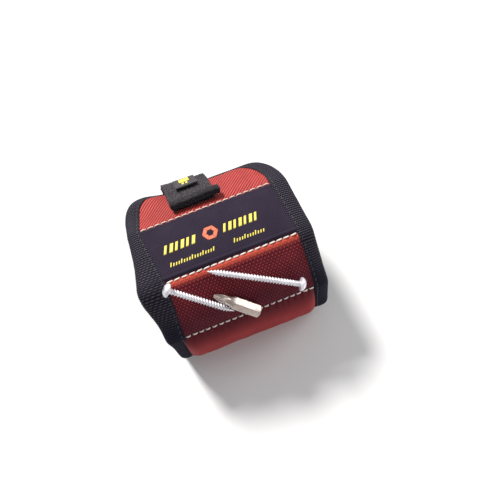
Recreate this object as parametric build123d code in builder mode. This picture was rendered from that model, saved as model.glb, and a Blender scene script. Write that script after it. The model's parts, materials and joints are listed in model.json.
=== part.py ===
from build123d import *
import os
from collections import namedtuple
from math import cos, degrees, radians, sin, tan

# Magnetic hook-and-loop wristband, closed as it is worn and lying on its underside.
# X runs along the wrist, -Y is the front, +Z is up. The origin is the centre of the flat underside.
# Millimetres and degrees. In the side profile a point is (y, z), and a tilt is the way that an outer
# face looks: 0 faces the front, 90 faces up, 180 faces the back.

os.makedirs("parts", exist_ok=True)

# Band
band_width = 90.0
band_thickness = 6.0
cover_thickness = 0.9
lining_thickness = 1.0
tape_thickness = 0.8
tape_over = 9.0
tape_under = 7.0
cap_length = 8.0
seam_gap = 0.3
fit_gap = 0.05

# Side profile of the band, from the near end round to the far end
flat_half = 22.0
front_radius = 15.0
front_tilt = 10.0
front_wall = 21.7
back_radius = 30.0
near_end_heading = 58.0
magnet_tilt = 48.3
magnet_length = 31.6
label_tilt = 100.9
label_length = 35.4
far_tilt = 122.0
far_flat = 24.0
far_curl_radius = 10.0
far_curl = 60.0
far_corner = 18.0
far_tape_over = 6.2
strap_over = 32.0
roll_seam_angle = 208.0
roll_bulge = 5.2
panel_crown = 1.6

# Magnets
magnet_size = (33.0, 22.0, 2.5)
magnet_pitch = 37.0
magnet_depth = 0.5
tray_bottom = 3.2

# Label and closure
label_width = 69.0
label_height = 29.0
label_thickness = 0.7
strap_centre = -5.5
strap_width = 25.4
webbing_thickness = 1.6
pile_thickness = 1.4
strap_bend_radius = 12.0
anchor_length = 12.0
loop_thickness = 1.2
hook_thickness = 1.2
hook_gap = 0.3
patch_width = 24.0
patch_from = 5.0
patch_to = 24.0
hem_from = 3.0
hem_length = 5.0
hem_overhang = 3.0
hem_rise = 0.9
tag_size = (12.0, 11.5, 1.4)
tag_from = 15.0

# What the magnets hold
screw_radius = 1.65
head_radius = 3.55
head_height = 2.6
head_edge = 0.9
head_flat = 1.2
point_length = 6.0
point_radius = 0.2
long_screw = 50.8
short_screw = 38.1
bit_length = 25.4
bit_flats = 6.35
bit_shank = 15.0

Panel = namedtuple("Panel", "seam tilt length bend_below bend_above")


def outward(tilt):
    """The way that a face of this tilt looks, in the side profile."""
    return Vector(-cos(radians(tilt)), sin(radians(tilt)))


def onward(tilt):
    """Along a face of this tilt, from the front over the top to the back."""
    return Vector(sin(radians(tilt)), cos(radians(tilt)))


def heading(angle):
    """Along the strap, from the near end up the back."""
    return Vector(cos(radians(angle)), sin(radians(angle)))


front_centre = Vector(-flat_half, front_radius)
back_centre = Vector(flat_half, back_radius)
wall_foot = front_centre + front_radius * outward(front_tilt)
near_seam = wall_foot + front_wall * onward(front_tilt)
middle_seam = near_seam + magnet_length * onward(magnet_tilt)
far_seam = middle_seam + label_length * onward(label_tilt)
far_plan_end = far_flat + far_curl_radius * sin(radians(far_curl))

near_bend = magnet_tilt - front_tilt
middle_bend = label_tilt - magnet_tilt
far_bend = far_tilt - label_tilt
magnet_panel = Panel(near_seam, magnet_tilt, magnet_length, near_bend, middle_bend)
label_panel = Panel(middle_seam, label_tilt, label_length, middle_bend, far_bend)
far_panel = Panel(far_seam, far_tilt, far_flat, far_bend, None)

cap_angle = degrees(cap_length / back_radius)
cap_start = near_end_heading - cap_angle


def panel_plane(panel):
    """The panel's outer face: X along the wrist, Y onward from its lower seam, Z outward."""
    look = outward(panel.tilt)
    return Plane(origin=(0, panel.seam.X, panel.seam.Y), x_dir=(1, 0, 0), z_dir=(0, look.X, look.Y))


def reach(panel, depth):
    """Where a layer at this depth starts and ends along the panel, mitred at its folds."""
    low = radians(panel.bend_below / 2)
    high = radians(panel.bend_above / 2)
    start = depth * tan(low) + seam_gap / 2 / cos(low)
    end = panel.length - depth * tan(high) - seam_gap / 2 / cos(high)
    return start, end


def on_panel(panel, along, depth):
    return panel.seam + along * onward(panel.tilt) - depth * outward(panel.tilt)


def save(part, name):
    part.label = name
    export_step(part, f"parts/{name}.step")


def panel_layer(panel, top, bottom, low_x, high_x, crown_top=0.0, crown_bottom=0.0):
    """A flat or crowned layer of a panel, between two depths and two places along the wrist."""
    start_top, end_top = reach(panel, top)
    start_bottom, end_bottom = reach(panel, bottom)
    corners = [
        on_panel(panel, start_top, top),
        on_panel(panel, end_top, top),
        on_panel(panel, end_bottom, bottom),
        on_panel(panel, start_bottom, bottom),
    ]
    middle_top = on_panel(panel, (start_top + end_top) / 2, top - crown_top)
    middle_bottom = on_panel(panel, (start_bottom + end_bottom) / 2, bottom - crown_bottom)
    with BuildPart() as layer:
        with BuildSketch(Plane.YZ.offset(low_x)):
            with BuildLine():
                if crown_top:
                    ThreePointArc(corners[0], middle_top, corners[1])
                else:
                    Line(corners[0], corners[1])
                Line(corners[1], corners[2])
                if crown_bottom:
                    ThreePointArc(corners[2], middle_bottom, corners[3])
                else:
                    Line(corners[2], corners[3])
                Line(corners[3], corners[0])
            make_face()
        extrude(amount=high_x - low_x)
    return layer.part


def side_spans(side):
    """Where the edge tape's outer leg, edge and inner leg lie along the wrist, on one side."""
    edge = band_width / 2
    widths = (tape_over, tape_thickness, tape_under)
    return [(edge - w, edge) if side > 0 else (-edge, w - edge) for w in widths]


tape_depths = [
    (0, tape_thickness),
    (0, band_thickness),
    (band_thickness - tape_thickness, band_thickness),
]
inner_edge = band_width / 2 - tape_thickness - fit_gap
cover_edge = band_width / 2 - tape_over - fit_gap
lining_edge = band_width / 2 - tape_under - fit_gap
lining_top = band_thickness - lining_thickness


# Magnet panel and label panel: cover, tray with two pockets, two magnets, foam, lining and edge tapes
def tray_of(panel, crown):
    length = panel.length
    with BuildPart() as tray:
        add(panel_layer(panel, cover_thickness + fit_gap, tray_bottom, -inner_edge, inner_edge))
        add(panel_layer(panel, cover_thickness, tray_bottom, -cover_edge, cover_edge, crown))
        with BuildSketch(panel_plane(panel).offset(-tray_bottom)):
            with Locations((0, length / 2)):
                with GridLocations(magnet_pitch, 0, 2, 1):
                    Rectangle(magnet_size[0] + 4 * fit_gap, magnet_size[1] + 4 * fit_gap)
        extrude(amount=tray_bottom - magnet_depth, mode=Mode.SUBTRACT)
    return tray.part


def magnets_of(panel):
    with BuildPart() as magnets:
        with BuildSketch(panel_plane(panel).offset(-magnet_depth - fit_gap - magnet_size[2])):
            with Locations((0, panel.length / 2)):
                with GridLocations(magnet_pitch, 0, 2, 1):
                    RectangleRounded(magnet_size[0], magnet_size[1], 1.0)
        extrude(amount=magnet_size[2])
    return magnets.part


def tape_of(panel, side):
    with BuildPart() as tape:
        for (low_x, high_x), (top, bottom) in zip(side_spans(side), tape_depths):
            add(panel_layer(panel, top, bottom, low_x, high_x))
    return tape.part


for name, panel in (("magnet_panel", magnet_panel), ("label_panel", label_panel)):
    foam_top = tray_bottom + fit_gap
    cover = panel_layer(panel, 0, cover_thickness, -cover_edge, cover_edge, panel_crown, panel_crown)
    save(cover, f"{name}_cover")
    save(tray_of(panel, panel_crown), f"{name}_tray")
    save(magnets_of(panel), f"{name}_magnets")
    save(panel_layer(panel, foam_top, lining_top, -inner_edge, inner_edge), f"{name}_foam")
    save(panel_layer(panel, lining_top, band_thickness, -lining_edge, lining_edge), f"{name}_lining")
    for side, word in ((-1, "left"), (1, "right")):
        save(tape_of(panel, side), f"{name}_tape_{word}")

# Label patch, sewn on the crowned cover
with BuildPart() as label_patch:
    patch_margin = (label_length - label_height) / 2
    patch_ends = [on_panel(label_panel, a, -0.55) for a in (patch_margin, label_length - patch_margin)]
    patch_tops = [p + label_thickness * outward(label_tilt) for p in patch_ends]
    with BuildSketch(Plane.YZ.offset(-label_width / 2)):
        with BuildLine():
            ThreePointArc(patch_ends[0], on_panel(label_panel, label_length / 2, -panel_crown), patch_ends[1])
            Line(patch_ends[1], patch_tops[1])
            patch_middle = on_panel(label_panel, label_length / 2, -panel_crown - label_thickness)
            ThreePointArc(patch_tops[1], patch_middle, patch_tops[0])
            Line(patch_tops[0], patch_ends[0])
        make_face()
    extrude(amount=label_width)
save(label_patch.part, "label_patch")


# Far panel: its end curls down, with two large round corners, and its edge tape goes round them in one piece
far_plane = panel_plane(far_panel)
mitre_way = onward((label_tilt + far_tilt) / 2)
mitre_point = far_seam + seam_gap / 2 * mitre_way
far_mitre = Plane(
    origin=(0, mitre_point.X, mitre_point.Y), x_dir=(1, 0, 0), z_dir=(0, mitre_way.X, mitre_way.Y)
)
mitre_overrun = 6.0
plan_depth = 12.0


def far_outline(side_inset, end_inset):
    """Plan of the far panel, drawn past its fold so that the mitre cuts it."""
    half = band_width / 2 - side_inset
    end = far_plan_end - end_inset
    radius = far_corner - (side_inset + end_inset) / 2
    with BuildSketch() as outline:
        with BuildLine():
            Polyline((-half, end - radius), (-half, -mitre_overrun), (half, -mitre_overrun), (half, end - radius))
            RadiusArc((half, end - radius), (half - radius, end), -radius)
            Line((half - radius, end), (radius - half, end))
            RadiusArc((radius - half, end), (-half, end - radius), -radius)
        make_face()
    return outline.sketch


def curl_point(angle, depth):
    """A point of the curled end: angle is how far it has turned down from the flat of the panel."""
    radius = far_curl_radius - depth
    along = far_flat + radius * sin(radians(angle))
    return on_panel(far_panel, along, far_curl_radius - radius * cos(radians(angle)))


def far_layer(outer_inset, top, bottom, hollow=None, end_angle=far_curl):
    """A layer of the far panel between two depths, cut to its plan, less the plan of a hollow."""
    with BuildPart() as layer:
        with BuildSketch(Plane.YZ.offset(-band_width / 2)):
            with BuildLine():
                for depth in (top, bottom):
                    Line(on_panel(far_panel, -mitre_overrun, depth), on_panel(far_panel, far_flat, depth))
                    ThreePointArc(*[curl_point(end_angle * share, depth) for share in (0, 0.5, 1)])
                Line(on_panel(far_panel, -mitre_overrun, top), on_panel(far_panel, -mitre_overrun, bottom))
                Line(curl_point(end_angle, top), curl_point(end_angle, bottom))
            make_face()
        extrude(amount=band_width)
        with BuildSketch(far_plane.offset(-plan_depth)):
            add(far_outline(*outer_inset))
            if hollow:
                add(far_outline(*hollow), mode=Mode.SUBTRACT)
        extrude(amount=plan_depth + 1.0, mode=Mode.INTERSECT)
        split(bisect_by=far_mitre, keep=Keep.TOP)
    return layer.part


cover_inset = (tape_over + fit_gap, far_tape_over + fit_gap)
foam_inset = (tape_thickness + fit_gap, tape_thickness + fit_gap)
lining_inset = (tape_under + fit_gap, far_tape_over + fit_gap)
save(far_layer(cover_inset, 0, cover_thickness), "far_panel_cover")
foam_curl = far_curl - degrees((tape_thickness + fit_gap) / far_curl_radius)
save(far_layer(foam_inset, cover_thickness, lining_top, None, foam_curl), "far_panel_foam")
save(far_layer(lining_inset, lining_top, band_thickness), "far_panel_lining")

with BuildPart() as far_end_tape:
    tape_hollows = ((tape_over, far_tape_over), (tape_thickness, tape_thickness), (tape_under, far_tape_over))
    for hollow, (top, bottom) in zip(tape_hollows, tape_depths):
        add(far_layer((0, 0), top, bottom, hollow))
    wall_curl = far_curl - degrees(tape_thickness / far_curl_radius)
    wall_corners = [(wall_curl, 0), (far_curl, 0), (far_curl, band_thickness), (wall_curl, band_thickness)]
    end_half = band_width / 2 - far_corner + 2.0
    with BuildSketch(Plane.YZ.offset(-end_half)):
        with BuildLine():
            Polyline(*[curl_point(angle, depth) for angle, depth in wall_corners], close=True)
        make_face()
    extrude(amount=2 * end_half)
save(far_end_tape.part, "far_end_tape")


def on_far_panel(name, low_x, high_x, start, end, low, high, corner=0.0):
    """A flat piece lying over the far panel, between two heights above its outer face."""
    with BuildPart() as piece:
        with BuildSketch(far_plane.offset(low)):
            with Locations(((low_x + high_x) / 2, (start + end) / 2)):
                if corner:
                    RectangleRounded(high_x - low_x, end - start, corner)
                else:
                    Rectangle(high_x - low_x, end - start)
        extrude(amount=high - low)
    save(piece.part, name)


strap_low_x = strap_centre - strap_width / 2
strap_high_x = strap_centre + strap_width / 2
patch_low_x = strap_centre - patch_width / 2
patch_high_x = strap_centre + patch_width / 2
hook_low = loop_thickness + hook_gap
webbing_low = hook_low + hook_thickness
pile_low = webbing_low + webbing_thickness
strap_top = pile_low + pile_thickness
on_far_panel("loop_patch", patch_low_x, patch_high_x, patch_from, patch_to, 0, loop_thickness, 2.0)


# Underside: from the near seam down the front, under the wrist and up the back to the near end
def wall_top(depth):
    half = radians(near_bend / 2)
    along = front_wall - depth * tan(half) - seam_gap / 2 / cos(half)
    return wall_foot + along * onward(front_tilt) - depth * outward(front_tilt)


def back_point(angle, depth):
    return back_centre + (back_radius - depth) * Vector(sin(radians(angle)), -cos(radians(angle)))


def underside_edge(depth, end_angle, from_wall):
    """One long edge of a layer, drawn at this depth. Returns its first and last points."""
    first_angle = 180 - front_tilt if from_wall else roll_seam_angle
    radius = front_radius - depth
    foot = front_centre + radius * Vector(cos(radians(first_angle)), sin(radians(first_angle)))
    if from_wall:
        Line(wall_top(depth), foot)
    CenterArc(front_centre, radius, first_angle, 270 - first_angle)
    Line((-flat_half, depth), (flat_half, depth))
    CenterArc(back_centre, back_radius - depth, 270, end_angle)
    return wall_top(depth) if from_wall else foot, back_point(end_angle, depth)


def underside_layer(top, bottom, low_x, high_x, end_angle, from_wall=True):
    with BuildPart() as layer:
        with BuildSketch(Plane.YZ.offset(low_x)):
            with BuildLine():
                outer = underside_edge(top, end_angle, from_wall)
                inner = underside_edge(bottom, end_angle, from_wall)
                Line(outer[0], inner[0])
                Line(outer[1], inner[1])
            make_face()
        extrude(amount=high_x - low_x)
    return layer.part


tape_end = cap_start - 0.2
foam_end = near_end_heading - 2.0
cover = underside_layer(0, cover_thickness, -cover_edge, cover_edge, tape_end, False)
save(cover, "underside_cover")
foam = underside_layer(cover_thickness + fit_gap, lining_top, -inner_edge, inner_edge, foam_end)
save(foam, "underside_foam")
lining = underside_layer(lining_top, band_thickness, -lining_edge, lining_edge, tape_end)
save(lining, "underside_lining")
for side, word in ((-1, "left"), (1, "right")):
    with BuildPart() as underside_tape:
        for (low_x, high_x), (top, bottom) in zip(side_spans(side), tape_depths):
            add(underside_layer(top, bottom, low_x, high_x, tape_end))
    save(underside_tape.part, f"underside_tape_{word}")

# The padded roll between the near seam and the next one, which stands proud of the edge tapes
roll_foot_way = Vector(cos(radians(roll_seam_angle)), sin(radians(roll_seam_angle)))


def roll_arc(depth):
    """The roll's bulged face at this depth, from its upper seam to its lower one."""
    top = wall_top(depth)
    foot = front_centre + (front_radius - depth) * roll_foot_way
    middle = wall_foot + 6.0 * onward(front_tilt) + (roll_bulge - depth) * outward(front_tilt)
    ThreePointArc(top, middle, foot)
    return top, foot


def roll_base(depth):
    """The band's own face behind the roll."""
    wall_low = front_centre + (front_radius - depth) * outward(front_tilt)
    Line(wall_top(depth), wall_low)
    CenterArc(front_centre, front_radius - depth, 180 - front_tilt, roll_seam_angle - 180 + front_tilt)


with BuildPart() as front_roll_cover:
    with BuildSketch(Plane.YZ.offset(-cover_edge)):
        with BuildLine():
            outer_ends = roll_arc(0)
            inner_ends = roll_arc(cover_thickness)
            Line(outer_ends[0], inner_ends[0])
            Line(outer_ends[1], inner_ends[1])
        make_face()
    extrude(amount=2 * cover_edge)
save(front_roll_cover.part, "front_roll_cover")

with BuildPart() as front_roll_foam:
    with BuildSketch(Plane.YZ.offset(-cover_edge)):
        with BuildLine():
            roll_arc(cover_thickness)
            roll_base(cover_thickness)
        make_face()
    extrude(amount=2 * cover_edge)
save(front_roll_foam.part, "front_roll_foam")


# Near end: a cap of folded tape, and the strap's sewn end on top of it
def back_block(top, bottom, low_x, high_x, start_angle, end_angle):
    sweep_angle = end_angle - start_angle
    with BuildPart() as block:
        with BuildSketch(Plane.YZ.offset(low_x)):
            with BuildLine():
                CenterArc(back_centre, back_radius - top, 270 + start_angle, sweep_angle)
                CenterArc(back_centre, back_radius - bottom, 270 + start_angle, sweep_angle)
                Line(back_point(start_angle, top), back_point(start_angle, bottom))
                Line(back_point(end_angle, top), back_point(end_angle, bottom))
            make_face()
        extrude(amount=high_x - low_x)
    return block.part


edge = band_width / 2
cavity_edge = edge - tape_thickness
cavity_end = near_end_heading - degrees(tape_thickness / back_radius)
with BuildPart() as near_end_tape:
    add(back_block(0, band_thickness, -edge, edge, cap_start, near_end_heading))
    cavity_bottom = band_thickness - tape_thickness
    cavity = back_block(
        tape_thickness, cavity_bottom, -cavity_edge, cavity_edge, cap_start - 1.0, cavity_end
    )
    add(cavity, mode=Mode.SUBTRACT)
save(near_end_tape.part, "near_end_tape")

strap_thickness = webbing_thickness + pile_thickness
anchor_start = near_end_heading - degrees(anchor_length / back_radius)
anchor = back_block(-strap_thickness, 0, strap_low_x, strap_high_x, anchor_start, near_end_heading)
save(anchor, "strap_anchor")

# Strap: up the back from the near end and round the far end, in webbing with a loop pile face
strap_start = back_point(near_end_heading, 0) + seam_gap * heading(near_end_heading)
tail_heading = 180 - (far_tilt - 90)
tail_point = far_seam + strap_over * onward(far_tilt) + webbing_low * outward(far_tilt)
strap_turn = tail_heading - near_end_heading
tangent = strap_bend_radius * tan(radians(strap_turn / 2))
strap_way = heading(near_end_heading)
tail_way = heading(tail_heading)
between = tail_point - strap_start
cross = strap_way.X * tail_way.Y - strap_way.Y * tail_way.X
to_corner = (between.X * tail_way.Y - between.Y * tail_way.X) / cross
strap_corner = strap_start + to_corner * strap_way
bend_start = strap_corner - tangent * strap_way
bend_centre = bend_start + strap_bend_radius * heading(near_end_heading + 90)
bend_end = strap_corner + tangent * tail_way
tip_start = (bend_end - far_seam).dot(onward(far_tilt))


def strap_layer(name, low, high):
    """A layer of the strap, between two distances outward from its inner face."""
    out_way = heading(near_end_heading - 90)
    end_way = outward(far_tilt)
    with BuildPart() as layer:
        with BuildSketch(Plane.YZ.offset(strap_low_x)):
            with BuildLine():
                for rise in (low, high):
                    Line(strap_start + rise * out_way, bend_start + rise * out_way)
                    CenterArc(bend_centre, strap_bend_radius + rise, near_end_heading - 90, strap_turn)
                Line(strap_start + low * out_way, strap_start + high * out_way)
                Line(bend_end + low * end_way, bend_end + high * end_way)
            make_face()
        extrude(amount=strap_width)
    save(layer.part, name)


strap_layer("strap_webbing", 0, webbing_thickness)
strap_layer("strap_pile", webbing_thickness, strap_thickness)

# Strap tip: the flat tail on the far panel, with its hook tape, folded hem and woven pull tag
tip_end = tip_start - seam_gap
hem_to = hem_from + hem_length
tip_from = hem_to + fit_gap
on_far_panel("strap_tip_webbing", strap_low_x, strap_high_x, tip_from, tip_end, webbing_low, pile_low)
on_far_panel("strap_tip_pile", strap_low_x, strap_high_x, tip_from, tip_end, pile_low, strap_top)
on_far_panel("hook_tape", patch_low_x, patch_high_x, tip_from, patch_to, hook_low, webbing_low)
hem_bottom = webbing_low - hem_rise + hook_gap
hem_high_x = strap_high_x + hem_overhang
hem_top = strap_top + hem_rise
on_far_panel("strap_end_hem", strap_low_x, hem_high_x, hem_from, hem_to, hem_bottom, hem_top, 1.0)
tag_low_x = strap_centre - tag_size[0] / 2
tag_bottom = strap_top + fit_gap
on_far_panel(
    "pull_tag",
    tag_low_x,
    tag_low_x + tag_size[0],
    tag_from,
    tag_from + tag_size[1],
    tag_bottom,
    tag_bottom + tag_size[2],
    1.0,
)


# Two screws and a driver bit that the magnets hold
def held_plane(point, end):
    """Z from a held thing's point towards its other end, given as (x, onward, outward) on the panel."""
    base = panel_plane(magnet_panel)
    start = base.from_local_coords(Vector(*point))
    finish = base.from_local_coords(Vector(*end))
    return Plane(origin=start, z_dir=finish - start)


def screw(name, length, point, end):
    head_low = length - head_height
    with BuildPart() as body:
        with BuildSketch(Plane.XZ):
            with BuildLine():
                Polyline(
                    (0, head_low + head_edge),
                    (0, 0),
                    (point_radius, 0),
                    (screw_radius, point_length),
                    (screw_radius, head_low),
                    (head_radius, head_low),
                    (head_radius, head_low + head_edge),
                    close=True,
                )
            make_face()
        revolve(axis=Axis.Z)
        with BuildSketch(Plane.XZ):
            with BuildLine():
                ThreePointArc(
                    (head_radius, head_low + head_edge), (0.75 * head_radius, length - 0.6), (head_flat, length)
                )
                Polyline(
                    (head_flat, length), (0, length), (0, head_low + head_edge), (head_radius, head_low + head_edge)
                )
            make_face()
        revolve(axis=Axis.Z)
    save(held_plane(point, end).location * body.part, name)


screw("screw_long", long_screw, (-11.8, 31.0, 2.5), (32.2, 5.9, 5.2))
screw("screw_short", short_screw, (-6.2, 5.6, 2.9), (-34.4, 31.2, 4.4))

with BuildPart() as bit:
    tip_radius, tip_length, neck_radius = 0.9, 4.5, 2.2
    neck_end = bit_length - bit_shank - 1.6
    with BuildSketch(Plane.XZ):
        with BuildLine():
            Polyline(
                (0, 0),
                (tip_radius, 0),
                (neck_radius, tip_length),
                (neck_radius, neck_end),
                (bit_flats / 2, bit_length - bit_shank),
                (0, bit_length - bit_shank),
                close=True,
            )
        make_face()
    revolve(axis=Axis.Z)
    with BuildSketch(Plane.XY.offset(bit_length - bit_shank)):
        RegularPolygon(radius=bit_flats / 2, side_count=6, major_radius=False, rotation=30)
    extrude(amount=bit_shank)
save(held_plane((-13.1, 18.7, 5.0), (5.4, 1.3, 5.0)).location * bit.part, "driver_bit")
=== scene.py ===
import json
import math

import bmesh
import bpy
import numpy as np
from mathutils import Matrix, Vector


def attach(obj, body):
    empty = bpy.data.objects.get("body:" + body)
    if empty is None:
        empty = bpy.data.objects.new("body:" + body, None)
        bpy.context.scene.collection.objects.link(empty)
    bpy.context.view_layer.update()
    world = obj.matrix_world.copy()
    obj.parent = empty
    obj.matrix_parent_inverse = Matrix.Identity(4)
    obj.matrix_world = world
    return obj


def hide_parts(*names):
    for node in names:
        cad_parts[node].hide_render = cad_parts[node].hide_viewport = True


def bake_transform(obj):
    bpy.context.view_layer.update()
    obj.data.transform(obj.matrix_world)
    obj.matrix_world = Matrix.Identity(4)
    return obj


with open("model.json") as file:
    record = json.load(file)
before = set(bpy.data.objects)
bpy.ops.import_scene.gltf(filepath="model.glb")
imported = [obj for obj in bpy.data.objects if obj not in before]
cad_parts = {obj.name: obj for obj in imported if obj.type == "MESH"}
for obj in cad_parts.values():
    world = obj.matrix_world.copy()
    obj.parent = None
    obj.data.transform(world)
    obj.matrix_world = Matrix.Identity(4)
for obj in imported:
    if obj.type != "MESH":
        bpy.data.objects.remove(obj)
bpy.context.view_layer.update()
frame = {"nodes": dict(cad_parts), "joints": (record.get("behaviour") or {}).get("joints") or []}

# Magnetic wristband. Lengths here are millimetres in the row frame, and meshes are written in metres.
# Most pieces are drawn in band coordinates: x along the wrist, s round the band on its outer face from
# the near end to the far end, and h above that face.
MM = 0.001
EDGE = 45.0
THICK = 6.0
CAP_LENGTH = 8.0
COVER_X = 36.0
YARN_X, YARN_S = 1.0, 1.3

FLAT_HALF, FRONT_R, BACK_R = 22.0, 15.0, 30.0
NEAR_ANGLE = math.radians(58.0)
FRONT_TILT, FRONT_WALL = 10.0, 21.7
ROLL_ANGLE = 62.0
FAR_TILT, FAR_FLAT = 122.0, 24.0
CORNER_LEFT, CORNER_RIGHT = (20.0, 24.0), (24.5, 29.5)
CURL_R, CURL = 10.0, math.radians(60.0)
CROWN = 1.6
STAND = 2.4
FLOOR_GAP = 0.02

STRAP_X, STRAP_W = -5.5, 25.4
WEBBING, PILE = 1.6, 1.4
ANCHOR_LEN, STRAP_BEND, STRAP_OVER = 12.0, 12.0, 32.0
TAIL_H = 2.7
HEM_FROM, HEM_TO, HEM_OUT = 3.0, 8.0, 3.0

pivot = {j["name"]: np.array(j["pos_m"][1:]) / MM for j in frame["joints"] if j["type"] == "hinge"}


def onward(tilt):
    """Along a face of this tilt, in the side profile's (y, z)."""
    a = math.radians(tilt)
    return np.array([math.sin(a), math.cos(a)])


def outward(tilt):
    """The way that a face of this tilt looks."""
    a = math.radians(tilt)
    return np.array([-math.cos(a), math.sin(a)])


def panel_between(start, end):
    d = end - start
    return start, math.degrees(math.atan2(d[0], d[1])), float(np.hypot(*d))


near_seam, mid_seam, far_seam = pivot["near_fold"], pivot["middle_fold"], pivot["far_fold"]
foot = np.array([-FLAT_HALF, FRONT_R]) + FRONT_R * outward(FRONT_TILT)
wall = (foot, FRONT_TILT, FRONT_WALL)
magnet = panel_between(near_seam, mid_seam)
label = panel_between(mid_seam, far_seam)
far = (far_seam, FAR_TILT, FAR_FLAT)
FAR_LENGTH = FAR_FLAT + CURL_R * CURL
panels = [wall, magnet, label, far]

S_BACK = BACK_R * NEAR_ANGLE
S_FLAT = S_BACK + 2 * FLAT_HALF
S_FOOT = S_FLAT + FRONT_R * math.radians(90 + FRONT_TILT)
S_NEAR = S_FOOT + FRONT_WALL
S_MID = S_NEAR + magnet[2]
S_FAR = S_MID + label[2]
S_END = S_FAR + FAR_LENGTH
S_ROLL = S_FLAT + FRONT_R * math.radians(ROLL_ANGLE)
S_MAGNET_MID = (S_NEAR + S_MID) / 2
S_LABEL_MID = (S_MID + S_FAR) / 2
SEAM_MID = S_MID - 0.8
BENDS = [0.0, magnet[1] - FRONT_TILT, label[1] - magnet[1], FAR_TILT - label[1], 0.0]
STARTS = [S_FOOT, S_NEAR, S_MID, S_FAR]


def smooth(t):
    t = np.clip(t, 0, 1)
    return t * t * (3 - 2 * t)


def noise(x, y, size, seed):
    """Smooth seeded noise from -1 to 1 with lumps of that size."""
    table = np.random.default_rng(seed).uniform(-1, 1, (256, 256))
    u, v = np.asarray(x, float) / size, np.asarray(y, float) / size
    i, j = np.floor(u).astype(int), np.floor(v).astype(int)
    a, b = smooth(u - i), smooth(v - j)

    def at(p, q):
        return table[p % 256, q % 256]

    return (at(i, j) * (1 - a) + at(i + 1, j) * a) * (1 - b) + (at(i, j + 1) * (1 - a) + at(i + 1, j + 1) * a) * b


def raw(s, h):
    """The side profile before its folds are rounded: (y, z) at s along the band and h above its face."""
    s, h = np.broadcast_arrays(np.asarray(s, float), np.asarray(h, float))
    d = -h
    y, z = np.zeros(s.shape), np.zeros(s.shape)
    k = s < S_BACK
    a = NEAR_ANGLE - s[k] / BACK_R
    y[k] = FLAT_HALF + (BACK_R - d[k]) * np.sin(a)
    z[k] = BACK_R - (BACK_R - d[k]) * np.cos(a)
    k = (s >= S_BACK) & (s < S_FLAT)
    y[k] = FLAT_HALF - (s[k] - S_BACK)
    z[k] = d[k]
    k = (s >= S_FLAT) & (s < S_FOOT)
    a = 1.5 * math.pi - (s[k] - S_FLAT) / FRONT_R
    y[k] = -FLAT_HALF + (FRONT_R - d[k]) * np.cos(a)
    z[k] = FRONT_R + (FRONT_R - d[k]) * np.sin(a)
    for i, (start, tilt, length) in enumerate(panels):
        k = s >= STARTS[i]
        if i < 3:
            k &= s < STARTS[i + 1]
        low = math.tan(math.radians(BENDS[i] / 2))
        high = math.tan(math.radians(BENDS[i + 1] / 2))
        a = (s[k] - STARTS[i]) / length
        along = d[k] * low + a * (length - d[k] * (low + high))
        t, n = onward(tilt), outward(tilt)
        depth = d[k]
        if i == 3:
            turned = np.maximum(s[k] - S_FAR - FAR_FLAT, 0) / CURL_R
            curled = turned > 0
            along = np.where(curled, FAR_FLAT + (CURL_R - depth) * np.sin(turned), along)
            depth = np.where(curled, CURL_R - (CURL_R - depth) * np.cos(turned), depth)
        y[k] = start[0] + along * t[0] - depth * n[0]
        z[k] = start[1] + along * t[1] - depth * n[1]
    return np.stack([y, z], -1)


SOFT = np.linspace(-1.4, 1.4, 7)


def profile(s, h):
    """The side profile with its folds rounded as thick cloth rounds them."""
    s, h = np.broadcast_arrays(np.asarray(s, float), np.asarray(h, float))
    near_mid = np.exp(-(((s - S_MID + 1.5) / 4.5) ** 4))
    out = sum(raw(s + tap + near_mid * (1.5 * tap + 1.1), h) for tap in SOFT) / len(SOFT)
    out[..., 1] = np.maximum(out[..., 1], FLOOR_GAP)
    return out


def face(x, s, h):
    """A point, in mm, at band coordinates x, s, h. The worn band's far left corner stands up a little."""
    x, s, h = np.broadcast_arrays(np.asarray(x, float), np.asarray(s, float), np.asarray(h, float))
    at_corner = smooth((-x - 17.0) / 16.0) * smooth((s - S_FAR - 10.0) / 16.0)
    p = profile(s, h + STAND * at_corner * smooth((h + 6.0) / 5.0))
    return np.stack([x, p[..., 0], p[..., 1]], -1)


def up_at(s):
    """The way that the band's outer face looks at s."""
    up = face(0, s, 1.0) - face(0, s, 0.0)
    return up / np.linalg.norm(up, axis=-1, keepdims=True)


# ---------------------------------------------------------------- meshes
def mesh(name, points, faces, material, uv=None, slots=None):
    """A mesh object from points in mm. uv holds cloth coordinates in mm for each point."""
    me = bpy.data.meshes.new(name)
    me.from_pydata((np.asarray(points, float) * MM).tolist(), [], [list(map(int, f)) for f in faces])
    me.validate()
    me.shade_smooth()
    for m in material if isinstance(material, list) else [material]:
        me.materials.append(m)
    if slots is not None:
        me.polygons.foreach_set("material_index", np.asarray(slots, np.int32))
    if uv is not None:
        layer = me.uv_layers.new(name="cloth")
        corner = np.zeros(len(me.loops), np.int32)
        me.loops.foreach_get("vertex_index", corner)
        layer.data.foreach_set("uv", np.asarray(uv, np.float32)[corner].ravel())
    me.update()
    o = bpy.data.objects.new(name, me)
    bpy.context.scene.collection.objects.link(o)
    return o


def solid(*args, **kwargs):
    """A mesh object made of closed islands, each turned so that its faces look outward."""
    o = mesh(*args, **kwargs)
    bm = bmesh.new()
    bm.from_mesh(o.data)
    bmesh.ops.recalc_face_normals(bm, faces=bm.faces)
    bm.to_mesh(o.data)
    bm.free()
    return o


def grid_faces(rows, cols, base=0, flip=False, wrap=False):
    i, j = np.meshgrid(np.arange(rows - 1), np.arange(cols if wrap else cols - 1), indexing="ij")
    k = (j + 1) % cols
    q = np.stack([i * cols + j, (i + 1) * cols + j, (i + 1) * cols + k, i * cols + k], -1).reshape(-1, 4) + base
    return q[:, ::-1] if flip else q


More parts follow.
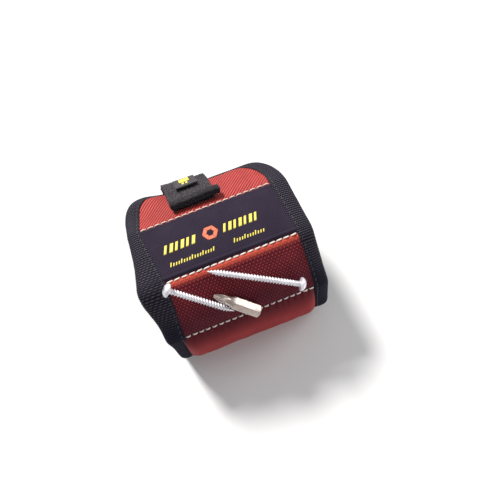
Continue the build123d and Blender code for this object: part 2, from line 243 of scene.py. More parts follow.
def shell_data(top, bottom, uv):
    """A closed thin shell from its outer and inner grids, both (rows, cols, 3)."""
    rows, cols = top.shape[:2]
    n = rows * cols
    ring = (
        [(0, j) for j in range(cols)]
        + [(i, cols - 1) for i in range(1, rows)]
        + [(rows - 1, j) for j in range(cols - 2, -1, -1)]
        + [(i, 0) for i in range(rows - 2, 0, -1)]
    )
    ids = np.array([i * cols + j for i, j in ring])
    nxt = np.roll(ids, -1)
    rim = np.stack([ids, nxt, nxt + n, ids + n], -1)
    faces = np.concatenate([grid_faces(rows, cols), grid_faces(rows, cols, n, True), rim[:, ::-1]])
    points = np.concatenate([top.reshape(-1, 3), bottom.reshape(-1, 3)])
    return points, faces, np.concatenate([uv.reshape(-1, 2)] * 2)


def shell(name, top, bottom, uv, material):
    points, faces, both = shell_data(top, bottom, uv)
    return solid(name, points, faces, material, both)


def tube_data(rings):
    """A closed tube from its rings, (rows, sides, 3), with a point at the middle of each end."""
    rows, sides = rings.shape[:2]
    points = np.concatenate([rings.reshape(-1, 3), [rings[0].mean(0), rings[-1].mean(0)]])
    j = np.arange(sides)
    k = (j + 1) % sides
    ends = [[a, b, rows * sides] for a, b in zip(j, k)]
    ends += [[(rows - 1) * sides + b, (rows - 1) * sides + a, rows * sides + 1] for a, b in zip(j, k)]
    return points, grid_faces(rows, sides, 0, False, True).tolist() + ends


def joined(parts):
    """Several (points, faces) as one."""
    points, faces, base = [], [], 0
    for p, f in parts:
        points.append(p)
        faces += [[int(v) + base for v in q] for q in f]
        base += len(p)
    return np.concatenate(points), faces


def pair(u, v):
    """Two coordinates of each point, as an array of pairs."""
    return np.stack(np.broadcast_arrays(u, v), -1)


def grid(a0, a1, rows, b0, b1, cols):
    return np.meshgrid(np.linspace(a0, a1, rows), np.linspace(b0, b1, cols), indexing="ij")


def band_grid(s0, s1, rows, cols, half_width):
    """x and s over a stretch of the band, whose left and right half widths half_width gives."""
    s = np.linspace(s0, s1, rows)[:, None] * np.ones((1, cols))
    left, right = half_width(s)
    return -left + np.linspace(0, 1, cols)[None, :] * (left + right), s


# ---------------------------------------------------------------- materials
class Shade:
    """A new material, with short names for the nodes that its colour and relief are made of."""

    def __init__(self, name, color, roughness, metallic=0.0, sheen=0.0, sheen_tint=(1, 1, 1), specular=0.5):
        self.material = bpy.data.materials.new(name)
        self.material.use_nodes = True
        self.nodes, self.links = self.material.node_tree.nodes, self.material.node_tree.links
        self.shader = self.nodes["Principled BSDF"]
        constants = {
            "Base Color": (*color, 1),
            "Roughness": roughness,
            "Metallic": metallic,
            "Specular IOR Level": specular,
            "Sheen Weight": sheen,
            "Sheen Roughness": 0.5,
            "Sheen Tint": (*sheen_tint, 1),
        }
        for socket, value in constants.items():
            self.shader.inputs[socket].default_value = value

    def node(self, kind, **values):
        n = self.nodes.new(kind)
        for k, v in values.items():
            if k in n.inputs.keys():
                n.inputs[k].default_value = v
            else:
                setattr(n, k, v)
        return n

    def cloth(self):
        """The cloth's own coordinates in mm, as two outputs, and as a vector."""
        uv = self.node("ShaderNodeUVMap", uv_map="cloth")
        split = self.node("ShaderNodeSeparateXYZ")
        self.links.new(uv.outputs[0], split.inputs[0])
        return split.outputs[0], split.outputs[1], uv.outputs[0]

    def where(self):
        return self.node("ShaderNodeTexCoord").outputs["Object"]

    def maths(self, operation, a, b=None):
        n = self.node("ShaderNodeMath", operation=operation)
        for i, v in enumerate((a, b)):
            if isinstance(v, (int, float)):
                n.inputs[i].default_value = v
            elif v is not None:
                self.links.new(v, n.inputs[i])
        return n.outputs[0]

    def add(self, a, b):
        return self.maths("ADD", a, b)

    def mul(self, a, b):
        return self.maths("MULTIPLY", a, b)

    def sine(self, a):
        return self.maths("SINE", a)

    def size(self, a):
        return self.maths("ABSOLUTE", a)

    def ramp(self, value, low, high, a=0.0, b=1.0):
        n = self.node("ShaderNodeMapRange", **{"From Min": a, "From Max": b, "To Min": low, "To Max": high})
        self.links.new(value, n.inputs["Value"])
        return n.outputs["Result"]

    def noise(self, vector, scale, detail=3.0, roughness=0.55):
        n = self.node("ShaderNodeTexNoise", Scale=scale, Detail=detail, Roughness=roughness)
        self.links.new(vector, n.inputs["Vector"])
        return n.outputs["Fac"]

    def blend(self, factor, a, b):
        """Between two values."""
        n = self.node("ShaderNodeMix")
        for i, v in ((0, factor), (2, a), (3, b)):
            self.links.new(v, n.inputs[i])
        return n.outputs[0]

    def mix(self, factor, a, b):
        """Between two colours."""
        n = self.node("ShaderNodeMix", data_type="RGBA")
        self.links.new(factor, n.inputs[0])
        for socket, v in (("A", a), ("B", b)):
            target = [i for i in n.inputs if i.name == socket and i.type == "RGBA"][0]
            if isinstance(v, tuple):
                target.default_value = (*v, 1)
            else:
                self.links.new(v, target)
        return [o for o in n.outputs if o.type == "RGBA"][0]

    def link(self, value, socket):
        self.links.new(value, self.shader.inputs[socket])

    def relief(self, height, distance, strength):
        n = self.node("ShaderNodeBump", Strength=strength, Distance=distance * MM)
        self.links.new(height, n.inputs["Height"])
        self.link(n.outputs[0], "Normal")

    def finish(self, tone, painted_light_fades=()):
        """Colours the material. A fade paints light or shade: a colour that takes over between two places along the
        cloth.
        """
        for color, start, end, most, axis in painted_light_fades:
            tone = self.mix(self.ramp(self.cloth()[axis], 0, most, start, end), tone, color)
        self.link(tone, "Base Color")
        return self.material


def woven(name, color, dark, light, roughness, pitch, depth, sheen, contrast=0.5, stripe=0.0, painted_light_fades=()):
    """Plain weave: yarns that pass over and under one another, each made of fine filaments. The gaps between yarns
    get a painted shade, and the floats on top and their filaments a painted highlight.
    """
    g = Shade(name, color, roughness, sheen=sheen, sheen_tint=light, specular=0.18)
    u, v, uv = g.cloth()
    yarn_u, yarn_v = (g.mul(at, math.pi / p) for at, p in zip((u, v), pitch))
    wave_u, wave_v = g.sine(yarn_u), g.sine(yarn_v)
    filaments = [g.sine(g.mul(at, math.pi * 2 * 5.3 / p)) for at, p in zip((u, v), pitch)]
    # the product of the two waves changes sign from one crossing to the next
    side = g.ramp(g.mul(wave_u, wave_v), 0, 1, -0.15, 0.15)
    body = g.maths("POWER", g.mul(g.size(wave_u), g.size(wave_v)), 0.45)
    fine = g.blend(side, *filaments)
    grain, broad = g.noise(uv, 2.2, 4.0), g.noise(uv, 0.09)
    g.relief(g.add(g.add(body, g.mul(fine, 0.10)), g.mul(grain, 0.35)), depth, 0.9)
    # painted shade: darker in the gaps between yarns
    tone = g.mix(g.ramp(body, 0, 1, 0.25, 0.85), dark, color)
    # painted highlight on the floats that lie on top
    tone = g.mix(g.mul(side, g.ramp(body, 0, contrast, 0.55, 0.95)), tone, light)
    # painted highlight along the filaments
    tone = g.mix(g.ramp(g.add(fine, grain), 0, 0.22, 0.2, 1.6), tone, light)
    if stripe:
        # diagonal rows of floats, in painted shade and painted highlight
        diagonal = g.sine(g.maths("SUBTRACT", yarn_u, yarn_v))
        tone = g.mix(g.ramp(diagonal, 0, stripe, -0.2, 0.8), tone, dark)
        tone = g.mix(g.ramp(diagonal, stripe, 0, -0.8, 0.1), tone, light)
    tone = g.mix(g.ramp(broad, 0.0, 0.35, 0.35, 0.75), tone, dark)
    g.link(g.ramp(grain, roughness - 0.08, roughness + 0.12, 0.3, 0.7), "Roughness")
    return g.finish(tone, painted_light_fades)


def ribbed(name, color, dark, light, pitch, sheen=0.35, painted_light_fades=()):
    """Grosgrain tape: ribs across it, wrapped by fine yarns, with a bead where each yarn crosses a rib. The rib
    crests and beads get a painted highlight, and the gaps between ribs a painted shade.
    """
    g = Shade(name, color, 0.75, sheen=sheen, sheen_tint=light, specular=0.2)
    u, v, uv = g.cloth()
    rib = g.size(g.sine(g.mul(u, math.pi / pitch)))
    wraps = g.sine(g.mul(v, math.pi * 2 / 0.42))
    grain = g.noise(uv, 3.0)
    height = g.add(g.maths("POWER", rib, 0.6), g.mul(wraps, 0.16))
    g.relief(g.add(height, g.mul(grain, 0.4)), 0.09, 0.8)
    # painted highlight on the rib crests, broken into beads
    crest = g.ramp(g.add(rib, g.mul(wraps, 0.12)), 0, 0.95, 0.62, 0.98)
    crest = g.mul(crest, g.ramp(grain, 0.35, 1, 0.35, 0.65))
    row = g.mul(g.maths("FLOOR", g.maths("DIVIDE", u, pitch)), 2.4)
    beads = g.sine(g.add(g.mul(v, 4.4), row))
    crest = g.mul(crest, g.ramp(beads, 0.25, 1, -0.7, 0.5))
    # painted shade between the ribs
    tone = g.mix(g.ramp(rib, 0, 1, 0.35, 0.85), dark, color)
    return g.finish(g.mix(crest, tone, light), painted_light_fades)


def fuzzy(name, color, light, depth=0.25):
    """Brushed loop pile: tangled fibre ends, with painted shade in the hollows and a painted highlight on fine
    fibre ends.
    """
    g = Shade(name, color, 0.95, sheen=0.5, sheen_tint=light, specular=0.15)
    where = g.where()
    lumps, fine = g.noise(where, 880.0, 5.0, 0.7), g.noise(where, 2080.0, 3.0, 0.6)
    g.relief(g.add(lumps, g.mul(fine, 0.5)), depth, 0.9)
    # painted shade: darker in the hollows between lumps
    tone = g.mix(g.ramp(lumps, 0, 1, 0.35, 0.6), tuple(c * 0.3 for c in color), color)
    # painted highlight on fine fibre ends
    return g.finish(g.mix(g.ramp(fine, 0, 0.7, 0.50, 0.70), tone, light))


def plain(name, color, light, roughness, metallic=0.0, scale=0.5, depth=0.03):
    """A moulded, cast or foamed surface: fine grain and slow changes of tone."""
    g = Shade(name, color, roughness, metallic)
    where = g.where()
    grain, broad = g.noise(where, scale / MM, 5.0, 0.6), g.noise(where, scale / MM * 0.08, 2.0)
    g.relief(grain, depth, 0.7)
    g.link(g.ramp(grain, roughness - 0.08, roughness + 0.1, 0.3, 0.7), "Roughness")
    tone = g.mix(g.ramp(grain, 0, 0.5, 0.3, 0.8), color, light)
    return g.finish(g.mix(g.ramp(broad, 0, 0.4, 0.4, 0.8), tone, tuple(c * 0.6 for c in color)))


def thread(name, color, dark):
    """Sewing thread: two plies whose twist shows as fine slanting lines."""
    g = Shade(name, color, 0.6, sheen=0.3, specular=0.35)
    u, v, uv = g.cloth()
    twist = g.sine(g.add(g.mul(u, 9.0), g.mul(v, 2.0)))
    g.relief(twist, 0.04, 0.8)
    return g.finish(g.mix(g.ramp(g.add(twist, g.noise(uv, 3.0)), 0, 1, -0.9, 0.6), dark, color))


def spacer_mesh(name, color, dark, light, pitch):
    """Spacer mesh: rows of small holes between knitted ribs."""
    g = Shade(name, color, 0.85, sheen=0.3, sheen_tint=light, specular=0.2)
    u, v, uv = g.cloth()
    across = g.maths("COSINE", g.mul(u, 2 * math.pi / pitch))
    along = g.maths("COSINE", g.mul(v, 2 * math.pi / (pitch * 1.7)))
    knit = g.sine(g.mul(g.add(u, v), 14.0))
    grain = g.noise(uv, 2.0)
    g.relief(g.add(g.mul(knit, 0.3), grain), 0.06, 0.7)
    tone = g.mix(g.ramp(g.mul(across, along), 0, 1, 0.75, 0.3), dark, color)
    return g.finish(g.mix(g.ramp(grain, 0, 0.5, 0.45, 0.8), tone, light))


def metal(name, color, dark, roughness, metallic):
    """Plated or satin steel with fine streaks and duller patches."""
    g = Shade(name, color, roughness, metallic)
    where = g.where()
    stretch = g.node("ShaderNodeMapping", Scale=(200.0, 200.0, 2400.0))
    g.links.new(where, stretch.inputs["Vector"])
    streaks = g.noise(stretch.outputs[0], 1.0, 4.0, 0.6)
    g.link(g.ramp(streaks, roughness - 0.07, roughness + 0.16, 0.3, 0.7), "Roughness")
    g.relief(streaks, 0.012, 0.6)
    return g.finish(g.mix(g.ramp(g.noise(where, 0.25 / MM), 0, 0.4, 0.4, 0.7), color, dark))


YARNS = (YARN_X, YARN_S)
# Woven cloths: their own colour, a painted shade in the gaps between yarns and a painted highlight on the yarns
# that lie on top.
red_cloth = woven(
    "red_cloth", (0.42, 0.028, 0.026), (0.12, 0.005, 0.009), (0.66, 0.115, 0.095), 0.62, YARNS, 0.06, 0.12,
    stripe=0.6,
)
# The magnet panel is the same red cloth as the far panel, painted darker for the shade it lies in. Its first fade
# paints deeper shade towards the near seam, and its second a painted highlight where the fold below the middle seam
# faces the light.
shaded_magnet_cloth = woven(
    "shaded_magnet_cloth", (0.14, 0.005, 0.010), (0.038, 0.001, 0.008), (0.56, 0.085, 0.10), 0.70, YARNS, 0.06, 0.0, 0.6,
    painted_light_fades=[
        ((0.022, 0.0006, 0.010), S_MAGNET_MID + 4.0, S_NEAR + 8.0, 0.5, 1),
        ((0.60, 0.085, 0.045), S_MID - 5.2, S_MID - 2.0, 0.8, 1),
    ],
)
# The roll's cloth is painted a darker red for the shade it lies in, and its fade paints the shade in the crease
# under the near seam.
shaded_roll_cloth = woven(
    "shaded_roll_cloth", (0.31, 0.026, 0.029), (0.13, 0.008, 0.012), (0.45, 0.070, 0.066), 0.68, (0.62, 0.7), 0.03, 0.12,
    painted_light_fades=[((0.06, 0.003, 0.010), S_NEAR - 10.5, S_NEAR - 3.0, 0.8, 1)],
)
patch_cloth = woven(
    "patch_cloth", (0.022, 0.013, 0.032), (0.007, 0.004, 0.011), (0.072, 0.056, 0.086), 0.85, (0.7, 0.7), 0.04,
    0.3, 0.55,
)
# Ribbed tapes: their own colour, a painted shade between ribs and a painted highlight on the crests.
TAPE_COLORS = (0.005, 0.003, 0.013), (0.0010, 0.0006, 0.004), (0.105, 0.092, 0.12)
TAPE_SHADE_FROM = S_MAGNET_MID - S_FOOT - 0.5
tape_cloth = ribbed("tape_cloth", *TAPE_COLORS, 1.3, 0.08)
# Tapes on the underside and the near panel: a navy painted shade takes over towards the near end.
shaded_tape_cloth = ribbed(
    "shaded_tape_cloth", *TAPE_COLORS, 1.3, 0.08,
    painted_light_fades=[((0.0022, 0.0020, 0.013), TAPE_SHADE_FROM, TAPE_SHADE_FROM - 9.0, 0.85, 0)],
)
webbing_cloth = ribbed("webbing_cloth", (0.022, 0.021, 0.024), (0.004, 0.004, 0.005), (0.08, 0.077, 0.085), 1.1)
tag_cloth = ribbed("tag_cloth", (0.060, 0.055, 0.062), (0.010, 0.010, 0.012), (0.16, 0.15, 0.16), 0.8)
lining_cloth = spacer_mesh("lining_cloth", (0.028, 0.028, 0.032), (0.004, 0.004, 0.006), (0.08, 0.08, 0.09), 2.6)
pile_cloth = fuzzy("pile_cloth", (0.032, 0.028, 0.033), (0.21, 0.19, 0.21))
# The hem is the pile cloth painted darker: painted shade on the folded end.
shaded_hem_cloth = fuzzy("shaded_hem_cloth", (0.020, 0.018, 0.022), (0.09, 0.083, 0.09), 0.18)
cream_thread = thread("cream_thread", (0.86, 0.80, 0.70), (0.50, 0.40, 0.33))
white_thread = thread("white_thread", (0.92, 0.89, 0.84), (0.58, 0.48, 0.44))
black_thread = thread("black_thread", (0.014, 0.013, 0.018), (0.003, 0.003, 0.005))
yellow_print = plain("yellow_print", (0.80, 0.66, 0.06), (0.93, 0.83, 0.25), 0.6, 0.0, 1.2)
orange_print = plain("orange_print", (0.72, 0.13, 0.05), (0.88, 0.27, 0.13), 0.6, 0.0, 1.2)
hook_plastic = plain("hook_plastic", (0.018, 0.018, 0.02), (0.05, 0.05, 0.055), 0.45)
zinc = metal("zinc", (0.82, 0.80, 0.85), (0.52, 0.50, 0.55), 0.45, 0.55)
# Dark metal in the screws' cross recesses: painted shade.
recess_shade = plain("recess_shade", (0.16, 0.16, 0.17), (0.3, 0.3, 0.31), 0.4, 1.0)
bit_steel = metal("bit_steel", (0.55, 0.46, 0.42), (0.34, 0.27, 0.25), 0.28, 0.85)
foam_soft = plain("foam_soft", (0.06, 0.06, 0.065), (0.12, 0.12, 0.125), 0.95, 0.0, 2.0, 0.12)
tray_plastic = plain("tray_plastic", (0.05, 0.05, 0.052), (0.09, 0.09, 0.095), 0.6)
ferrite = plain("ferrite", (0.07, 0.07, 0.075), (0.15, 0.15, 0.155), 0.55, 0.6)


# ---------------------------------------------------------------- covers
def weave(x, s, depth=0.16):
    """Height of the plain weave: warp and weft yarns as rounded lumps that take turns on top."""
    a, b = x / YARN_X, s / YARN_S
    fa, fb = a - np.floor(a) - 0.5, b - np.floor(b) - 0.5
    warp_on_top = (np.floor(a) + np.floor(b)) % 2 == 0
    along = np.where(warp_on_top, fb, fa)
    across = np.where(warp_on_top, fa, fb)
    return depth * (np.sqrt(np.maximum(1 - (1.75 * across) ** 2, 0)) * 0.8 + np.cos(math.pi * along) * 0.7 - 0.8)


def panel_share(s, start, length):
    return np.clip((s - start) / length, 0, 1)


def crown(x, s):
    """How far the padded panels stand above their flat faces."""
    out = np.zeros(np.broadcast(x, s).shape)
    for start, length in ((S_NEAR, magnet[2]), (S_MID, label[2])):
        a = panel_share(s, start, length)
        full = np.clip(4 * a * (1 - a), 0, 1)
        side = 1 - 0.42 * smooth((np.abs(x) - 28) / 7)
        out = out + CROWN * full * side + 0.35 * full * np.maximum(1 - (x / 34.0) ** 2, 0)
    a = panel_share(s, S_FAR, FAR_LENGTH)
    return out + 0.5 * np.sqrt(np.clip(4 * a * (1 - a), 0, 1)) * (1 - smooth((np.abs(x) - 22) / 12))


def seam_groove(x, s):
    """Stitch lines pull the cloth down, and pucker it a little between stitches."""
    out = 0
    for line in (S_NEAR, SEAM_MID, S_FAR):
        d = np.abs(s - line)
        wave = np.cos(2 * math.pi * x / 3.7 + noise(x, s * 0 + line, 9, 3) * 2)
        out = out - np.exp(-d / 0.9) * 0.45 + np.exp(-(((d - 1.6) / 1.7) ** 2)) * 0.13 * wave
    return out


def ripple(x, s, seed, size=13.0, amount=0.16):
    return amount * (noise(x, s, size, seed) + 0.4 * noise(x, s, size * 0.4, seed + 1))


def cover(name, s0, s1, half_width, heights, material, thickness=0.75, step=(0.25, 0.325), woven_face=True):
    rows, cols = round((s1 - s0) / step[1]) + 1, round(2 * COVER_X / step[0]) + 1
    x, s = band_grid(s0, s1, rows, cols, half_width)
    base = heights(x, s)
    top = face(x, s, base + (weave(x, s) if woven_face else 0))
    return shell(name, top, face(x, s, base - thickness), pair(x, s), material)


def panel_height(x, s):
    return crown(x, s) + seam_groove(x, s) + ripple(x, s, 11)


def underside_height(x, s):
    return -0.12 - 0.35 * smooth((s - 8) / 6) + 0 * x


def rounded_half(s, inset, end_inset):
    """Half widths of the far panel's plan, left and right, that far in from its sides and its round end."""
    halves = []
    for wide, tall in (CORNER_LEFT, CORNER_RIGHT):
        reach = np.clip((s - S_END + tall) / (tall - end_inset), 0, 1)
        halves.append(EDGE - inset - (wide - inset) * (1 - np.sqrt(1 - reach**2)))
    return halves


def far_half(s):
    return rounded_half(s, 5.0, 3.5)


def straight_half(s):
    return [np.full(np.shape(s), COVER_X + 4.5)] * 2


def blend_at(o, line, reach=3.0):
    """Bakes the piece's place into its mesh. The points on either side of the fold at s = line are worked out and
    not used.
    """
    start, end = ((0.0, *(float(v) * MM for v in profile(at, 0.0))) for at in (line - reach, line + reach))
    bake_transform(o)


UNDER_FROM = 6.0
COVER_END = S_END - 3.6
cover_far = cover("cover_far", S_LABEL_MID, COVER_END, far_half, panel_height, red_cloth)
cover_middle = cover("cover_middle", S_NEAR, S_LABEL_MID, straight_half, panel_height, shaded_magnet_cloth)
blend_at(cover_far, S_FAR)
blend_at(cover_middle, S_MID)
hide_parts("far_panel_cover")
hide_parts("magnet_panel_cover", "label_panel_cover")
cover_under = cover(
    "cover_underside", UNDER_FROM, S_ROLL + 0.6, straight_half, underside_height, red_cloth, 0.45, (0.5, 0.5), False
)
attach(cover_under, "underside")
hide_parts("underside_cover")


# ---------------------------------------------------------------- front roll
def roll_section(a):
    """The roll's outer face in the side profile: an arc from its lower seam (a = 0) to its upper one (a = 1)."""
    ax, ay = raw(S_ROLL, 0.0)
    bx, by = foot + 6.0 * onward(FRONT_TILT) + 5.2 * outward(FRONT_TILT)
    cx, cy = raw(S_NEAR, 0.0)
    d = 2 * (ax * (by - cy) + bx * (cy - ay) + cx * (ay - by))
    aa, bb, cc = ax**2 + ay**2, bx**2 + by**2, cx**2 + cy**2
    ux = (aa * (by - cy) + bb * (cy - ay) + cc * (ay - by)) / d
    uy = (aa * (cx - bx) + bb * (ax - cx) + cc * (bx - ax)) / d
    r = math.hypot(ax - ux, ay - uy)
    a0, a1 = math.atan2(ay - uy, ax - ux), math.atan2(cy - uy, cx - ux)
    if a1 > a0:
        a1 -= 2 * math.pi
    angle = a0 + (a1 - a0) * a
    return ux + r * np.cos(angle), uy + r * np.sin(angle)


def front_roll():
    """The padded roll: its ends are closed down to the tapes, and its seams pucker."""
    a, x = grid(0, 1, 150, -COVER_X - 0.4, COVER_X + 0.4, 300)
    roll_x = x + 0.7 * smooth((x + 10) / 40)
    s = S_ROLL + a * (S_NEAR - S_ROLL)
    end = np.clip((np.abs(x) - (COVER_X - 6.5)) / 6.9, 0, 1)
    swell = np.sqrt(np.clip(1 - end**2.3, 0, 1))
    belly = face(roll_x, s, -0.4)
    away = np.stack([roll_x, *roll_section(a)], -1) - belly
    direction = away / np.maximum(np.linalg.norm(away, axis=-1, keepdims=True), 1e-6)
    from_seam = np.minimum(a, 1 - a) * 31.6
    wave = np.cos(2 * math.pi * x / 3.7 + noise(x, a * 4, 8, 21) * 2.5)
    pucker = 0.20 * np.exp(-(((from_seam - 1.6) / 2.2) ** 2)) * wave
    full = np.clip(np.sin(math.pi * a), 0, 1)
    lump = (0.30 * noise(x, a * 30, 12, 22) + 0.14 * noise(x, a * 30, 5, 23)) * full * swell + pucker * swell
    lump = lump - 0.45 * np.exp(-from_seam / 0.9)
    lump = lump + 0.03 * np.sin(2 * math.pi * x / 0.62) * np.sin(2 * math.pi * s / 0.7)
    top = belly + away * swell[..., None] + direction * lump[..., None]
    top[..., 2] = np.maximum(top[..., 2], 0.05)
    return shell("front_roll", top, face(roll_x, s, -1.0), pair(x, s), shaded_roll_cloth)


roll = front_roll()
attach(roll, "underside")
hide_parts("front_roll_cover", "front_roll_foam")


# ---------------------------------------------------------------- linings
def lining(name, s0, s1, half_width):
    x, s = band_grid(s0, s1, int((s1 - s0) / 0.65) + 1, 113, half_width)
    dimple = 0.22 * np.cos(2 * math.pi * x / 2.6) * np.cos(2 * math.pi * s / (2.6 * 1.7))
    sag = 0.35 * noise(x, s, 16, 31) + 0.12 * noise(x, s, 6, 32)
    inner = face(x, s, -THICK + 0.12 - dimple - sag * 0.6)
    return shell(name, inner, face(x, s, -THICK + 0.95), pair(x, s), lining_cloth)


def far_lining_half(s):
    return [half - 0.4 for half in far_half(s)]


def near_lining_half(s):
    return [np.full(np.shape(s), 40.0)] * 2


LINING_FROM = 5.0
lining_underside = lining("lining_underside", LINING_FROM, S_FOOT, near_lining_half)
lining_near = lining("lining_near", S_FOOT, S_MAGNET_MID, near_lining_half)
lining_middle = lining("lining_middle", S_MAGNET_MID, S_LABEL_MID, near_lining_half)
lining_far = lining("lining_far", S_LABEL_MID, COVER_END, far_lining_half)
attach(lining_underside, "underside")
blend_at(lining_near, S_NEAR)
blend_at(lining_middle, S_MID)
blend_at(lining_far, S_FAR)
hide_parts("underside_lining")
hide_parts("magnet_panel_lining")
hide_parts("label_panel_lining")
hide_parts("far_panel_lining")


# ---------------------------------------------------------------- edge tapes
# One cross-section of folded tape: c runs in from the band's edge, h above the outer face.
TAPE = np.array([
    (9.3, 0.0), (9.32, 0.38), (9.1, 0.66), (8.6, 0.72), (8.1, 0.50), (7.75, 0.34), (7.4, 0.50), (6.9, 0.78),
    (5.9, 0.86), (4.2, 0.86), (2.7, 0.72), (1.5, 0.30), (0.65, -0.45), (0.18, -1.5), (0.0, -3.0), (0.14, -4.4),
    (0.6, -5.6), (1.5, -6.35), (2.8, -6.62), (4.6, -6.64), (6.1, -6.5), (6.8, -6.35), (7.05, -6.0),
])
RIB = 1.3
STITCH_C = 7.75


def resample(points, count):
    """The line through the points at even steps, a little softened, and the length at each step."""
    d = np.concatenate([[0], np.cumsum(np.hypot(*np.diff(points, axis=0).T))])
    t = np.linspace(0, d[-1], count)
    line = np.stack([np.interp(t, d, points[:, i]) for i in range(2)], -1)
    for _ in range(2):
        line[1:-1] = 0.25 * line[:-2] + 0.5 * line[1:-1] + 0.25 * line[2:]
    return line, t


section, section_len = resample(TAPE, 44)
tangent = np.gradient(section, axis=0)
tangent /= np.linalg.norm(tangent, axis=1, keepdims=True)
section_out = np.stack([tangent[:, 1], -tangent[:, 0]], -1)

# How far the worn band's edges flare out, and how far the tapes' inner edges wander, along s
FLARE_S = [
    S_ROLL - 20, S_ROLL, S_NEAR - 8.0, S_NEAR, S_NEAR + 10.0, S_NEAR + 17.0, S_MID - 6.0, S_MID, S_LABEL_MID,
    S_FAR, S_FAR + 10,
]
FLARE_LEFT = [0.0, -2.2, -1.7, -0.4, -0.3, 1.2, 3.4, 3.1, 0.6, 0.0, 0.0]
FLARE_RIGHT = [0.0, 0.6, 0.7, 0.8, 0.6, 0.6, 0.8, 1.0, 0.6, 0.4, 0.0]
INNER_LEFT = [0.0, -1.2, -1.2, -1.2, -2.0, -2.6, -3.0, -3.2, -0.6, 1.8, 0.4]
INNER_RIGHT = [0.0, 1.0, 1.4, 1.7, 1.8, 1.7, 1.6, 1.4, 0.6, 0.0, 0.0]


def smooth_table(s, values):
    """A table over FLARE_S read smoothly."""
    taps = np.linspace(-4.0, 4.0, 9)
    return sum(np.interp(s + d, FLARE_S, values) for d in taps) / len(taps)


def wander(x, s, c, ix):
    """Shift along x of a tape point that lies c in from the edge. Only the side edges wander."""
    share = smooth(c / 8.0)
    left = smooth_table(s, FLARE_LEFT) * (1 - share) + smooth_table(s, INNER_LEFT) * share
    right = smooth_table(s, FLARE_RIGHT) * (1 - share) + smooth_table(s, INNER_RIGHT) * share
    return np.where(x < 0, -left, right) * smooth((np.abs(ix) - 0.3) / 0.6)


# A path is the tape's edge as x, s, the inward direction's x and s, the length so far and the tape's width.
def side_path(side, s0, s1, count):
    s = np.linspace(s0, s1, count)
    return np.full(count, side * EDGE), s, np.full(count, -float(side)), np.zeros(count), s - s0, np.ones(count)


def far_marks():
    """Where, along the far tape's edge, each straight and corner starts and ends."""
    straights = [S_END - tall - S_LABEL_MID for wide, tall in (CORNER_RIGHT, CORNER_LEFT)]
    arcs = [math.pi / 4 * (wide + tall) for wide, tall in (CORNER_RIGHT, CORNER_LEFT)]
    across = 2 * EDGE - CORNER_LEFT[0] - CORNER_RIGHT[0]
    return np.cumsum([0, straights[0], arcs[0], across, arcs[1], straights[1]])


def far_path(count):
    """Up the right edge from the label panel, round the far end, and down the left edge."""
    marks = far_marks()
    q = np.linspace(0, marks[-1], count)
    x, s, ix, js = (np.zeros(count) for _ in range(4))
    k = q <= marks[1]
    x[k], s[k], ix[k] = EDGE, S_LABEL_MID + q[k], -1
    for first, sign, (wide, tall) in ((1, 1, CORNER_RIGHT), (3, -1, CORNER_LEFT)):
        k = (q > marks[first]) & (q <= marks[first + 1])
        turned = (q[k] - marks[first]) / (marks[first + 1] - marks[first]) * math.pi / 2
        angle = turned if sign > 0 else math.pi / 2 + turned
        x[k] = sign * (EDGE - wide) + wide * np.cos(angle)
        s[k] = S_END - tall + tall * np.sin(angle)
        inward = np.stack([np.cos(angle) / wide, np.sin(angle) / tall])
        ix[k], js[k] = -inward / np.linalg.norm(inward, axis=0)
    k = (q > marks[2]) & (q <= marks[3])
    x[k], s[k], js[k] = EDGE - CORNER_RIGHT[0] - (q[k] - marks[2]), S_END, -1
    k = q > marks[4]
    x[k], s[k], ix[k] = -EDGE, S_END - CORNER_LEFT[1] - (q[k] - marks[4]), 1
    return x, s, ix, js, q, 1 - 0.15 * smooth((np.abs(js) - 0.15) / 0.8)


def tape_lift(c, s, x):
    """The tape's outer leg rises over the padded panels beside it, and is pressed flat where the band rests."""
    rests = smooth(4 * smooth(1 - np.abs(s - (S_BACK + S_FLAT) / 2) / 30.0))
    return crown(np.sign(x) * 33.5, s) * smooth((c - 1.5) / 6.0) * 0.9 - 0.9 * rests


def tape_points(path, section_c, section_h, ribs):
    x, s, ix, js, q, narrow = (v[:, None] for v in path)
    c = section_c * narrow + ribs * section_out[:, 0]
    h = section_h + ribs * section_out[:, 1]
    ps = s + c * js
    px = x + c * ix + wander(x, ps, c, ix)
    return face(px, ps, h + smooth((h + 1.0) / 1.2) * tape_lift(c, ps, x + 0 * c))


def tape(path, rib, from_u):
    q = path[4]
    wave = np.abs(np.sin(math.pi * q / rib)) ** 0.75
    wobble = 0.05 * noise(q, 0 * q, 5, 41)
    fade = np.clip(section_len[-1] - section_len, 0, 1) * np.clip(section_len / 0.8, 0.25, 1)
    ribs = (0.20 * wave - 0.12 + wobble)[:, None] * fade
    top = tape_points(path, *section.T, ribs)
    bottom = tape_points(path, *(section - 0.7 * section_out).T, 0 * ribs)
    return shell_data(top, bottom, pair(from_u + q[:, None] * RIB / rib, section_len))


